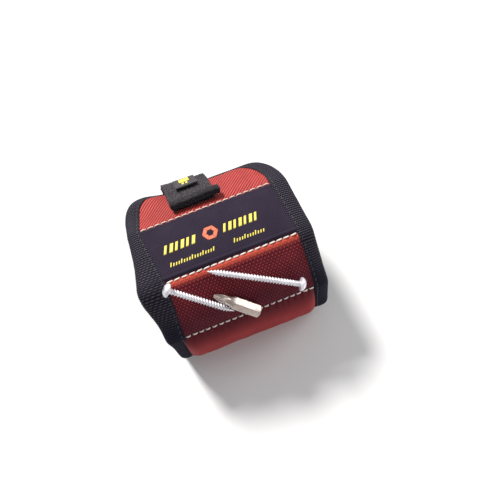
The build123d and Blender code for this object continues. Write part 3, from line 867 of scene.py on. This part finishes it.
def stitch_data(start, end, up, radius, arch, seg=9, sides=8):
    """One sewn thread from start to end, which dives into the cloth at both ends."""
    t = np.linspace(0, 1, seg)
    way = end - start
    length = np.linalg.norm(way)
    line = start + t[:, None] * way + up * (arch * np.sin(math.pi * t) - 0.45 * np.abs(2 * t - 1) ** 6)[:, None]
    tang = np.gradient(line, axis=0)
    tang /= np.linalg.norm(tang, axis=1, keepdims=True)
    side = np.cross(tang, up)
    side /= np.linalg.norm(side, axis=1, keepdims=True)
    rise = np.cross(side, tang)
    ang = np.arange(sides) * 2 * math.pi / sides
    twist = 2.2 * t[:, None] * length
    r = radius * (1 - 0.45 * np.abs(2 * t - 1) ** 5)[:, None] * (1 + 0.10 * np.cos(2 * (ang - twist)))
    spokes = np.cos(ang)[:, None] * side[:, None] + np.sin(ang)[:, None] * rise[:, None]
    points, faces = tube_data(line[:, None] + r[..., None] * spokes)
    uv = pair(t[:, None] * length, ang * radius).reshape(-1, 2)
    return points, faces, np.concatenate([uv, [[0, 0], [length, 0]]])


def along_stitches(path, pitch=3.1, length=2.2):
    """Black stitches that hold the tape down, in its groove."""
    x, s, ix, js, q, narrow = path
    count = int(q[-1] / pitch)
    middle = (np.arange(count) + 0.5) * q[-1] / count
    ends = []
    for at in (middle - length / 2, middle + length / 2):
        ex, es, ei, ej, c = (np.interp(at, q, v) for v in (x, s, ix, js, STITCH_C * narrow))
        ps = es + c * ej
        ends.append(face(ex + c * ei + wander(ex, ps, c, ei), ps, 0.52 + tape_lift(STITCH_C, ps, ex)))
    ups = up_at(np.interp(middle, q, s))
    return [stitch_data(a, b, up, 0.24, 0.10, 7, 6) for a, b, up in zip(*ends, ups)]


def sewn(name, parts, material, slots=None):
    """One piece made of parts that are each points, faces and cloth coordinates."""
    points, faces = joined([part[:2] for part in parts])
    points[:, 2] = np.maximum(points[:, 2], 0.0)
    return solid(name, points, faces, material, np.concatenate([part[2] for part in parts]), slots)


def tape_piece(name, path, rib, material=tape_cloth, from_u=0.0):
    """Tape and the stitches through it, as one mesh with two materials."""
    parts = [tape(path, rib, from_u), *along_stitches(path)]
    slots = [i > 0 for i, part in enumerate(parts) for _ in part[1]]
    return sewn(name, parts, [material, black_thread], slots)


def per_rib(length):
    """The rib pitch that fits a whole number of ribs into that length, and the rows that draw them."""
    count = round(length / RIB)
    return length / count, count * 7 + 1


def side_tape(name, side, s0, s1, material=tape_cloth, ends_at_zero=False):
    rib, count = per_rib(s1 - s0)
    from_u = -(s1 - s0) * RIB / rib if ends_at_zero else 0.0
    return tape_piece(name, side_path(side, s0, s1, count), rib, material, from_u)


for side, word in ((-1, "left"), (1, "right")):
    under = side_tape(f"edge_tape_underside_{word}", side, CAP_LENGTH - 0.8, S_FOOT, shaded_tape_cloth, True)
    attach(under, "underside")
    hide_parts(f"underside_tape_{word}")
    near = side_tape(f"edge_tape_near_{word}", side, S_FOOT, S_MAGNET_MID, shaded_tape_cloth)
    blend_at(near, S_NEAR)
    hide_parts(f"magnet_panel_tape_{word}")
    middle = side_tape(f"edge_tape_middle_{word}", side, S_MAGNET_MID, S_LABEL_MID)
    blend_at(middle, S_MID)
    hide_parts(f"label_panel_tape_{word}")

far_rib, far_count = per_rib(far_marks()[-1])
tape_far = tape_piece("edge_tape_far", far_path(far_count), far_rib)
blend_at(tape_far, S_FAR)
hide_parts("far_end_tape")


def foam_core(name, s0, s1, half_width, body, *nodes):
    """Foam inside the underside or the far panel, drawn to the worn outline."""
    x, s = band_grid(s0, s1, int((s1 - s0) / 1.3) + 1, 61, half_width)
    o = shell(name, face(x, s, -0.95), face(x, s, -4.8), pair(x, s), foam_soft)
    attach(o, body)
    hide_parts(*nodes)


def near_foam_half(s):
    return [EDGE - 1.6 + smooth_table(s, flare) for flare in (FLARE_LEFT, FLARE_RIGHT)]


def far_foam_half(s):
    return rounded_half(s, 1.6, 1.4)


foam_core("foam_underside", 1.2, S_NEAR - 1.2, near_foam_half, "underside", "underside_foam")
foam_core("foam_far", S_FAR + 0.6, S_END - 1.5, far_foam_half, "far_panel", "far_panel_foam")


def near_end_cap():
    """A folded cap of the same tape over the near end."""
    s_line = -0.2 + (CAP_LENGTH + 0.5) * np.linspace(0, 1, 40) ** 1.5
    s, x = np.meshgrid(s_line, np.linspace(-EDGE - 0.1, EDGE + 0.1, 377), indexing="ij")
    end_round = np.sqrt(1 - np.clip(1 - (s + 0.2) / 2.6, 0, 1) ** 2)
    side_round = np.sqrt(1 - np.clip((np.abs(x) - EDGE + 2.4) / 2.5, 0, 1) ** 2)
    half = 3.75 * np.minimum(end_round, side_round) * (0.35 + 0.65 * np.maximum(end_round, side_round))
    ribs = 0.18 * np.abs(np.sin(math.pi * x / RIB)) ** 0.75 - 0.1
    groove = -0.25 * np.exp(-(((s - 6.9) / 0.5) ** 2))
    out = half + (ribs + groove) * end_round
    return shell("near_end_cap", face(x, s, -3.0 + out), face(x, s, -3.0 - out), pair(x, s), tape_cloth)


cap = near_end_cap()
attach(cap, "underside")
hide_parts("near_end_tape")


# ---------------------------------------------------------------- stitch lines across the band
def stitch_line(name, line, height, material, body, low_x, high_x, pitch, length, radius, slant, seed):
    """Lockstitches across the band at s = line, each a little out of true."""
    rng = np.random.default_rng(seed)
    count = round((high_x - low_x) / pitch)
    pitch = (high_x - low_x) / count
    parts = []
    for i in range(count):
        mid = low_x + (i + 0.5) * pitch + rng.uniform(-0.12, 0.12)
        lean = slant + rng.uniform(-0.08, 0.08)
        h = height + rng.uniform(-0.04, 0.05)
        a, b = (face(mid + k * length / 2, line + k * lean, h) for k in (-1, 1))
        parts.append(stitch_data(a, b, up_at(line), radius, 0.2))
    o = sewn(name, parts, material)
    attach(o, body)


stitch_line("stitches_far", S_FAR + 0.1, 0.02, cream_thread, "far_panel", -37.6, 35.6, 3.8, 3.45, 0.33, 0.08, 1)
stitch_line("stitches_middle", SEAM_MID, 0.16, white_thread, "label_panel", -32.6, 37.0, 3.8, 3.2, 0.40, 0.16, 2)
stitch_line("stitches_near", S_NEAR, 0.12, white_thread, "underside", -34.4, 37.4, 3.6, 2.5, 0.40, 0.05, 3)

# ---------------------------------------------------------------- label patch and its print
PATCH_LOW, PATCH_HIGH = S_MID - 0.1, S_FAR - 0.7


def patch_half(s):
    return [EDGE - 8.75 + smooth_table(s, inner) for inner in (INNER_LEFT, INNER_RIGHT)]


def patch_height(x, s):
    """The patch lies on the padded label panel, its edges turned under."""
    low = s - PATCH_LOW
    a = np.minimum(low, PATCH_HIGH - s)
    hem = 0.12 * np.exp(-(((a - 1.3) / 0.8) ** 2)) + 0.42 * np.exp(-(((low - 2.0) / 1.5) ** 2))
    hem = hem - 0.10 * np.exp(-(((low - 4.1) / 0.5) ** 2))
    edge = 0.30 * np.exp(-np.maximum(a, 0) / 0.35)
    left, right = patch_half(s)
    tuck = 0.15 * np.exp(-np.maximum(np.minimum(x + left, right - x), 0) / 0.5)
    return crown(x, s) + 0.30 + hem - edge - tuck + ripple(x, s, 51, 11, 0.10) - 0.2 * np.exp(-np.abs(low) / 1.2)


x, s = band_grid(PATCH_LOW, PATCH_HIGH, 130, 220, patch_half)
height = patch_height(x, s)
top = face(x, s, height + 0.02 * noise(x, s, 0.7, 52))
patch = shell("label_cloth", top, face(x, s, height - 0.45), pair(x, s), patch_cloth)
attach(patch, "label_panel")
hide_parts("label_patch")


def mark(outline):
    """A printed shape on the patch: a convex outline of (x, t), t above the middle seam, finely filled."""
    corners = np.asarray(outline, float)
    centre = corners.mean(0)
    ring = []
    for p, q in zip(corners, np.roll(corners, -1, axis=0)):
        k = max(1, int(np.hypot(*(q - p)) / 0.5))
        ring += [p + (q - p) * j / k for j in range(k)]
    m, levels = len(ring), 3
    flat = np.concatenate([centre + (ring - centre) * f for f in np.linspace(1, 1 / levels, levels)] + [[centre]])
    sides = [(i, (i + 1) % m) for i in range(m)]
    total, inner = len(flat), (levels - 1) * m
    filled = [[k + i, k + j, k + m + j, k + m + i] for k in range(0, inner, m) for i, j in sides]
    filled += [[inner + i, inner + j, total - 1] for i, j in sides]
    under = [[v + total for v in q[::-1]] for q in filled]
    rim = [[j, i, i + total, j + total] for i, j in sides]
    s = S_MID + flat[:, 1]
    h = patch_height(flat[:, 0], s)
    return np.concatenate([face(flat[:, 0], s, h + lift) for lift in (0.09, -0.2)]), filled + under + rim


def bar(x, t, wide, tall):
    """A slanting block whose middle is at height t."""
    lean, half = 0.35 * tall / 2, tall / 2
    return [(x - lean, t - half), (x + wide - lean, t - half), (x + wide + lean, t + half), (x + lean, t + half)]


def nut(x, t, outer, inner):
    """A hexagon nut's outline in six convex pieces."""
    corners = [math.pi * 2 * i / 6 for i in range(7)]
    return [
        [(x + r * math.cos(g), t + r * math.sin(g)) for r, g in ((outer, a), (outer, b), (inner, b), (inner, a))]
        for a, b in zip(corners, corners[1:])
    ]


bars = []
for x0, x1, count in ((-28.3, -10.4, 6), (3.6, 23.2, 7)):
    pitch = (x1 - x0) / count
    bars += [bar(x0 + pitch * i, 17.6, pitch * (0.62 if i % 2 else 0.46), 4.9) for i in range(count)]
for x0, x1, count, t in ((-27.6, -3.6, 17, 8.3), (6.2, 23.2, 12, 8.5)):
    pitch = (x1 - x0) / count
    for i in range(count):
        tall = 1.7 if i % 4 else 2.4
        bars.append(bar(x0 + pitch * i, t + (tall - 1.7) / 2, pitch * 0.45, tall))
print_yellow = solid("label_marks_yellow", *joined([mark(o) for o in bars]), yellow_print)
print_orange = solid("label_marks_orange", *joined([mark(o) for o in nut(-3.4, 17.9, 4.3, 2.0)]), orange_print)
for o in (print_yellow, print_orange):
    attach(o, "label_panel")

# ---------------------------------------------------------------- strap
# r runs along the strap from the near end, and e is the height above its inner face.
near_end = np.array([FLAT_HALF + BACK_R * math.sin(NEAR_ANGLE), BACK_R - BACK_R * math.cos(NEAR_ANGLE)])
up_way = np.array([math.cos(NEAR_ANGLE), math.sin(NEAR_ANGLE)])
up_out = np.array([math.sin(NEAR_ANGLE), -math.cos(NEAR_ANGLE)])
tail_way = -onward(FAR_TILT)
tail_line = far_seam + STRAP_OVER * onward(FAR_TILT) + TAIL_H * outward(FAR_TILT)
cross = up_way[0] * tail_way[1] - up_way[1] * tail_way[0]
gap = tail_line - near_end
to_corner = (gap[0] * tail_way[1] - gap[1] * tail_way[0]) / cross
turn = math.acos(float(up_way @ tail_way))
cut = STRAP_BEND * math.tan(turn / 2)
straight = to_corner - cut
bend_centre = near_end + straight * up_way - STRAP_BEND * up_out
R_HINGE = ANCHOR_LEN
R_BEND = R_HINGE + straight
R_TAIL = R_BEND + STRAP_BEND * turn
tail_start = near_end + to_corner * up_way + cut * tail_way
tail_t = float((tail_start - far_seam) @ onward(FAR_TILT))
R_TIP = R_TAIL + tail_t - HEM_FROM
R_SPLIT = R_HINGE + 7.0


def strap_raw(r, e):
    """The strap's side profile, (y, z), before its bends are softened."""
    r, e = np.broadcast_arrays(np.asarray(r, float), np.asarray(e, float))
    out = np.zeros((*r.shape, 2))
    for k, centre, radius, angle in (
        (r < R_HINGE, (FLAT_HALF, BACK_R), BACK_R, NEAR_ANGLE - (R_HINGE - r) / BACK_R),
        ((r >= R_BEND) & (r < R_TAIL), bend_centre, STRAP_BEND, NEAR_ANGLE + (r - R_BEND) / STRAP_BEND),
    ):
        out[k, 0] = centre[0] + (radius + e[k]) * np.sin(angle[k])
        out[k, 1] = centre[1] - (radius + e[k]) * np.cos(angle[k])
    for k, start, from_r, way, n in (
        ((r >= R_HINGE) & (r < R_BEND), near_end, R_HINGE, up_way, up_out),
        (r >= R_TAIL, tail_start, R_TAIL, tail_way, outward(FAR_TILT)),
    ):
        out[k] = start + (r[k] - from_r)[..., None] * way + e[k][..., None] * n
    return out


def strap_droop(points, t, hold=1.0):
    """The worn strap leans left past the far end, and its right side hangs lower."""
    share = np.clip((points[..., 0] - STRAP_X) / STRAP_W + 0.5, 0, 1)
    weight = smooth((t - 24.0) / 9.5) * hold
    points[..., 0] -= 1.2 * weight + 0.05 * np.clip(t - 5.0, 0, 25) * hold
    points[..., 1:] -= (weight * (1.0 + 3.0 * share))[..., None] * outward(FAR_TILT)
    return points


def strap_face(x, r, e):
    x, r, e = np.broadcast_arrays(np.asarray(x, float), np.asarray(r, float), np.asarray(e, float))
    p = sum(strap_raw(r + d, e) for d in (-1.0, 0.0, 1.0)) / 3
    points = np.stack([x, p[..., 0], p[..., 1]], -1)
    return strap_droop(points, tail_t - (r - R_TAIL), smooth((r - R_HINGE - 2.0) / 16.0))


def strap_strip(name, r0, r1, low, high, half, material, rough=0.0, ribs=0.0):
    r, x = grid(r0, r1, int((r1 - r0) / 0.4) + 1, -half, half, int(2 * half / 0.4) + 1)
    rim = np.sqrt(1 - (1 - np.clip((half - np.abs(x)) / 0.6, 0, 1)) ** 2)
    mid = (low + high) / 2 + 0.18 * noise(x, r, 14, 66) * smooth((r - R_HINGE) / 6)
    reach = (high - low) / 2 * rim + ribs * np.abs(np.sin(math.pi * r / 1.1))
    fibre = rough * (noise(x, r, 0.9, 61) + 0.7 * noise(x, r, 0.45, 62))
    top, bottom = (strap_face(x + STRAP_X, r, e) for e in (mid + reach + fibre, mid - reach))
    return shell(name, top, bottom, pair(r, x), material)


def webbing_strip(name, r0, r1):
    return strap_strip(name, r0, r1, 0.02, WEBBING, STRAP_W / 2, webbing_cloth, ribs=0.05)


def pile_strip(name, r0, r1):
    return strap_strip(name, r0, r1, WEBBING - 0.1, WEBBING + PILE, STRAP_W / 2 - 0.5, pile_cloth, rough=0.22)


def strap_points(r, reach):
    return [(0.0, *(float(v) * MM for v in strap_raw(at, 1.5))) for at in (r - reach, r + reach)]


lower_web = webbing_strip("strap_webbing_lower", 0.0, R_SPLIT)
lower_pile = pile_strip("strap_pile_lower", 0.2, R_SPLIT)
upper_web = webbing_strip("strap_webbing_upper", R_SPLIT, R_TIP - 1.5)
upper_pile = pile_strip("strap_pile_upper", R_SPLIT, R_TIP - 1.5)
for o in (lower_web, lower_pile):
    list(strap_points(R_HINGE, 2.5))
    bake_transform(o)
for o in (upper_web, upper_pile):
    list(strap_points(R_TAIL, 4.0))
    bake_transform(o)
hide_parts("strap_anchor")
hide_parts("strap_webbing", "strap_tip_webbing")
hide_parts("strap_pile", "strap_tip_pile")


def on_far(x, t, h):
    """A point over the far panel: x, t onward from its seam, h above its face."""
    x, t, h = np.broadcast_arrays(np.asarray(x, float), np.asarray(t, float), np.asarray(h, float))
    p = far_seam + t[..., None] * onward(FAR_TILT) + h[..., None] * outward(FAR_TILT)
    return np.stack([x, p[..., 0], p[..., 1]], -1)


def on_tail(x, t, h):
    """A point over the far panel that follows the strap's tail."""
    return strap_droop(on_far(x, t, h), np.asarray(t, float))


def squared(v):
    """Takes a circle's sine or cosine to a rounded square's."""
    return np.sign(v) * np.abs(v) ** 0.45


def strap_hem():
    """The strap's end folded over twice, fuller at its front edge."""
    low, high = STRAP_X - STRAP_W / 2 - 0.2, STRAP_X + STRAP_W / 2 + HEM_OUT
    x = np.linspace(low, high, 90)[:, None]
    angle = np.arange(40) * 2 * math.pi / 40
    end = np.minimum(x - low, high - x)
    k = np.sqrt(np.maximum(1 - np.maximum(1 - end / 1.1, 0) ** 2, 0.02))
    dt, dh = 2.5 * k * squared(np.cos(angle)), 1.85 * k * squared(np.sin(angle))
    fold = -0.28 * np.exp(-(((dh + 0.2) / 0.35) ** 2)) * (np.abs(np.cos(angle)) > 0.6)
    scale = 1 + (fold + 0.14 * noise(x, angle * 4.0, 0.9, 71)) / 2.4
    mid_h = 4.3 + 0.25 * np.sin(0.23 * x + 0.6)
    points, faces = tube_data(on_far(x, (HEM_FROM + HEM_TO) / 2 + 0.5 + dt * scale, mid_h + dh * scale))
    uv = np.concatenate([pair(x, angle * 2.4).reshape(-1, 2), np.zeros((2, 2))])
    return solid("strap_hem", points, faces, shaded_hem_cloth, uv)


hem = strap_hem()
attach(hem, "strap_tip")
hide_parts("strap_end_hem")

# Pull tag: a folded ribbon whose near edge stands up off the strap
TAG_FROM, TAG_LENGTH = 15.0, 11.5


def tag_lift(t):
    return 5.9 + 1.1 * (1 - (t - TAG_FROM) / TAG_LENGTH) ** 2 + 0.15


t, x = grid(TAG_FROM, TAG_FROM + TAG_LENGTH, 60, -11.6, 0.6, 80)
side_rib = np.where(np.abs(x + 5.5) > 3.1, 1.0, 0.15)
ribs = 0.14 * side_rib * np.abs(np.sin(math.pi * x / 0.85)) + 0.03 * noise(x, t, 0.6, 81)
rolled = 0.105 * np.exp(-(((t - TAG_FROM) / 0.7) ** 2))
top = on_tail(x, t, tag_lift(t) + 0.85 + ribs + rolled)
tag = shell("tag_ribbon", top, on_tail(x, t, tag_lift(t) - 0.15), pair(x, t), tag_cloth)
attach(tag, "strap_tip")
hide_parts("pull_tag")


def tag_block(x0, x1, t0, t1, rise):
    t, x = grid(t0, t1, 12, x0, x1, 12)
    top = on_tail(x, t, tag_lift(t) + 0.85 + rise + 0.04 * noise(x, t, 0.5, 82))
    return shell_data(top, on_tail(x, t, tag_lift(t) + 0.6), pair(x, t))[:2]


tag_blocks = ((-8.4, -2.6, 21.0, 25.2, 0.12), (-7.4, -6.1, 18.0, 20.2, 0.10), (-5.2, -4.1, 18.0, 20.2, 0.10))
tag_mark = solid("tag_mark", *joined([tag_block(*block) for block in tag_blocks]), yellow_print)
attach(tag_mark, "strap_tip")

# Hook tape under the tail and loop patch on the far panel
PATCH_X = (STRAP_X - 12.0, STRAP_X + 12.0)
PATCH_TO = 24.0


def hook_data(x, t, way):
    """One moulded hook that bends over along the strap."""
    bend = np.linspace(0, 1, 6)
    line_t = t + way * 0.32 * np.sin(bend * 2.6) ** 2
    line_h = 2.25 - 0.62 * np.sin(bend * 2.3)
    ring = [on_far(x + 0.11 * math.cos(g), line_t, line_h + 0.11 * math.sin(g)) for g in (0.8, 2.9, 5.0)]
    return tube_data(np.stack(ring, 1))


t, x = grid(8.05, PATCH_TO, 20, *PATCH_X, 20)
hooks = [shell_data(on_far(x, t, 2.66), on_far(x, t, 2.2), pair(x, t))[:2]]
for i in range(14):
    hooks += [hook_data(STRAP_X - 11.4 + j * 1.085, 8.7 + i * 1.12, 1 if i % 2 else -1) for j in range(22)]
hook = solid("hook_strip", *joined(hooks), hook_plastic)
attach(hook, "strap_tip")
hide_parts("hook_tape")
t, x = grid(5.0, PATCH_TO, 60, *PATCH_X, 70)
rim = np.minimum.reduce([t - 5.0, PATCH_TO - t, x - x.min(), x.max() - x])
rim = np.sqrt(1 - (1 - np.clip(rim / 0.9, 0, 1)) ** 2)
fuzz = 0.12 * (noise(x, t, 0.9, 92) + noise(x, t, 0.5, 93))
loop = shell("loop_pad", on_far(x, t, 0.25 + rim * (0.75 + fuzz)), on_far(x, t, 0.0), pair(x, t), pile_cloth)
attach(loop, "far_panel")
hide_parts("loop_patch")


# ---------------------------------------------------------------- screws and bit
def circle_points(r, ang, z):
    return np.stack(np.broadcast_arrays(r * np.cos(ang), r * np.sin(ang), z), -1)


def place(o, point, end):
    """Lays a thing drawn up z on the magnet panel: its foot at one (x, along, above), its axis towards another."""
    n, t = outward(magnet[1]), onward(magnet[1])
    origin, target = (np.array([p[0], *(near_seam + p[1] * t + p[2] * n)]) for p in (point, end))
    z = (target - origin) / np.linalg.norm(target - origin)
    x = np.cross([0, *n], z)
    x /= np.linalg.norm(x)
    matrix = np.eye(4)
    matrix[:3] = np.stack([x, np.cross(z, x), z, origin * MM], 1)
    o.data.transform(Matrix(matrix.tolist()))
    o.data.update()


CORE, MAJOR, SHANK, PITCH, HEAD_H = 1.16, 1.72, 1.42, 1.55, 2.6
HEAD = [
    (1.3, -0.4), (2.2, 0.1), (3.3, 0.02), (3.52, 0.14), (3.55, 0.45), (3.55, 0.85), (3.38, 1.25), (3.0, 1.7),
    (2.4, 2.15), (2.05, 2.36),
]
HEAD_SIDES = 48


def screw(name, length, point, end, body, smooth_from):
    """A wood screw: a cut thread that dies out at the neck, and a round-topped head with a cross recess."""
    neck = length - HEAD_H
    z = np.linspace(0.0, neck, int(neck / PITCH * 12))[:, None]
    ang = np.arange(28) * 2 * math.pi / 28
    phase = (z / PITCH - ang / (2 * math.pi)) % 1.0
    crest = np.maximum(1 - np.abs(phase - 0.5) / 0.34, 0) ** 0.8
    plain_share = smooth((z - smooth_from) / 1.8)
    shank = CORE + (SHANK - CORE) * plain_share
    r = 0.12 + (shank - 0.12) * np.clip(z / 6.0, 0, 1) ** 0.8
    r = r + (MAJOR - CORE) * crest * (1 - plain_share) * np.clip(z / 4.0, 0.12, 1)
    shaft = tube_data(circle_points(r, ang, z))
    ang = np.arange(HEAD_SIDES) * 2 * math.pi / HEAD_SIDES
    arm = np.abs(np.cos(2 * ang)) ** 6
    rings = [circle_points(r, ang, neck + h) for r, h in HEAD]
    rings.append(circle_points(0.55 + 1.35 * arm, ang, neck + 2.52 - 0.12 * arm))
    rings.append(circle_points(0.25 + 0.6 * arm, ang, neck + 0.9))
    points, faces = joined([shaft, tube_data(np.array(rings))])
    # the recess is its wall, which is the last band of the head, and its floor, which is the head's last faces;
    # both take the painted shade
    wall_from = len(shaft[1]) + len(HEAD) * HEAD_SIDES
    slots = np.zeros(len(faces), int)
    slots[wall_from : wall_from + HEAD_SIDES] = 1
    slots[-HEAD_SIDES:] = 1
    o = solid(name, points, faces, [zinc, recess_shade], None, slots)
    place(o, point, end)
    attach(o, body)
    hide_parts(body)


screw("long_wood_screw", 50.8, (-11.8, 31.0, 2.5), (32.2, 5.9, 5.2), "screw_long", 43.5)
screw("short_wood_screw", 38.1, (-6.2, 5.6, 2.9), (-34.4, 31.2, 4.4), "screw_short", 33.5)

# The bit's cross-point tip: height, radius and how deep the flutes are cut
BIT_TIP = [
    (0.0, 0.35, 0.25), (0.15, 0.75, 0.30), (0.9, 1.05, 0.45), (2.2, 1.55, 0.62), (3.6, 2.0, 0.72), (4.6, 2.2, 0.6),
    (5.6, 2.25, 0.35), (6.6, 2.25, 0.1), (7.0, 2.25, 0.0),
]


def driver():
    """A quarter-inch bit: a bevelled hexagonal shank, a turned neck and a cross-point tip."""
    length, flats, shank = 25.4, 6.35, 15.0
    ang = np.arange(72) * 2 * math.pi / 72
    hexagon = (flats / 2) / np.cos((ang + math.pi / 4) % (math.pi / 3) - math.pi / 6)
    hexagon = np.minimum(hexagon, flats / 2 * 1.14)
    wing = np.abs(np.cos(2 * ang)) ** 3
    base = length - shank
    rows = [(z, r * (1 - cut * (1 - wing))) for z, r, cut in BIT_TIP]
    rows += [(8.3, 2.25), (8.7, 2.3), (base - 0.35, 2.75), (base, np.minimum(hexagon, 3.0))]
    rows += [(base + 0.45, np.minimum(hexagon, 3.35)), (base + 0.75, hexagon), (base + 4, hexagon)]
    rows += [(base + 9, hexagon), (length - 0.7, hexagon), (length - 0.35, np.minimum(hexagon, 3.3))]
    rows += [(length - 0.02, np.minimum(hexagon, 2.95)), (length, 2.6)]
    points, faces = tube_data(np.array([circle_points(r, ang, z) for z, r in rows]))
    o = solid("driver_bit_hex", points, faces, bit_steel)
    o.data.set_sharp_from_angle(angle=math.radians(18))
    place(o, (-13.1, 18.7, 5.0), (5.4, 1.3, 5.0))
    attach(o, "driver_bit")
    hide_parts("driver_bit")


driver()

# ---------------------------------------------------------------- CAD nodes that still show
for name, o in frame["nodes"].items():
    for ending, material in (("foam", foam_soft), ("tray", tray_plastic), ("magnets", ferrite)):
        if name.endswith(ending):
            o.data.materials.clear()
            o.data.materials.append(material)


# ---------------------------------------------------------------- floor, light and camera
paper = Shade("floor_paper", (0.86, 0.86, 0.865), 0.85)
flecks = paper.ramp(paper.noise(paper.where(), 40.0), 0, 0.25, 0.3, 0.7)
floor_material = paper.finish(paper.mix(flecks, (0.86, 0.86, 0.865), (0.83, 0.83, 0.835)))
FLOOR = 1500.0
floor_points = [(-FLOOR, -FLOOR, 0), (FLOOR, -FLOOR, 0), (FLOOR, FLOOR, 0), (-FLOOR, FLOOR, 0)]
floor = mesh("floor", floor_points, [(0, 1, 2, 3)], floor_material)

world = bpy.data.worlds.new("studio")
bpy.context.scene.world = world
world.use_nodes = True
world.node_tree.nodes["Background"].inputs[0].default_value = (0.95, 0.97, 1.0, 1)
world.node_tree.nodes["Background"].inputs[1].default_value = 0.34


def light(name, kind, power, color, towards):
    """A light that shines along the vector towards."""
    data = bpy.data.lights.new(name, kind)
    data.energy = power
    data.color = color
    o = bpy.data.objects.new(name, data)
    o.rotation_mode = "QUATERNION"
    o.rotation_quaternion = towards.to_track_quat("-Z", "Y")
    bpy.context.scene.collection.objects.link(o)
    return o


def lamp(name, location, size, power):
    """A rectangular lamp that looks at the band."""
    o = light(name, "AREA", power, (1.0, 0.97, 0.94), Vector((0, 0, 0.03)) - Vector(location))
    o.data.shape = "RECTANGLE"
    o.data.size, o.data.size_y = size
    o.location = location


key = light("key", "SUN", 4.7, (1.0, 0.985, 0.96), Vector((0.22, -0.74, -0.64)))
key.data.angle = math.radians(14)
lamp("fill", (0.40, -0.62, 0.22), (0.5, 0.4), 1.3)
lamp("side", (0.56, 0.10, 0.36), (0.28, 0.28), 1.15)

camera = bpy.data.cameras.new("camera")
camera.sensor_width = 36.0
camera.lens = 38.0
camera.clip_start, camera.clip_end = 0.01, 20.0
back = Vector((-0.0732, -0.3411, 0.9372)).normalized()
right = Vector((0.931, -0.360, -0.0583))
right = (right - right.dot(back) * back).normalized()
turned = Matrix((right, back.cross(right), back)).transposed().to_4x4()
view = bpy.data.objects.new("camera", camera)
view.matrix_world = Matrix.Translation(Vector((-7.32, -98.04, 305.63)) * MM) @ turned
bpy.context.scene.collection.objects.link(view)
bpy.context.scene.camera = view
bpy.context.scene.view_settings.view_transform = "Standard"
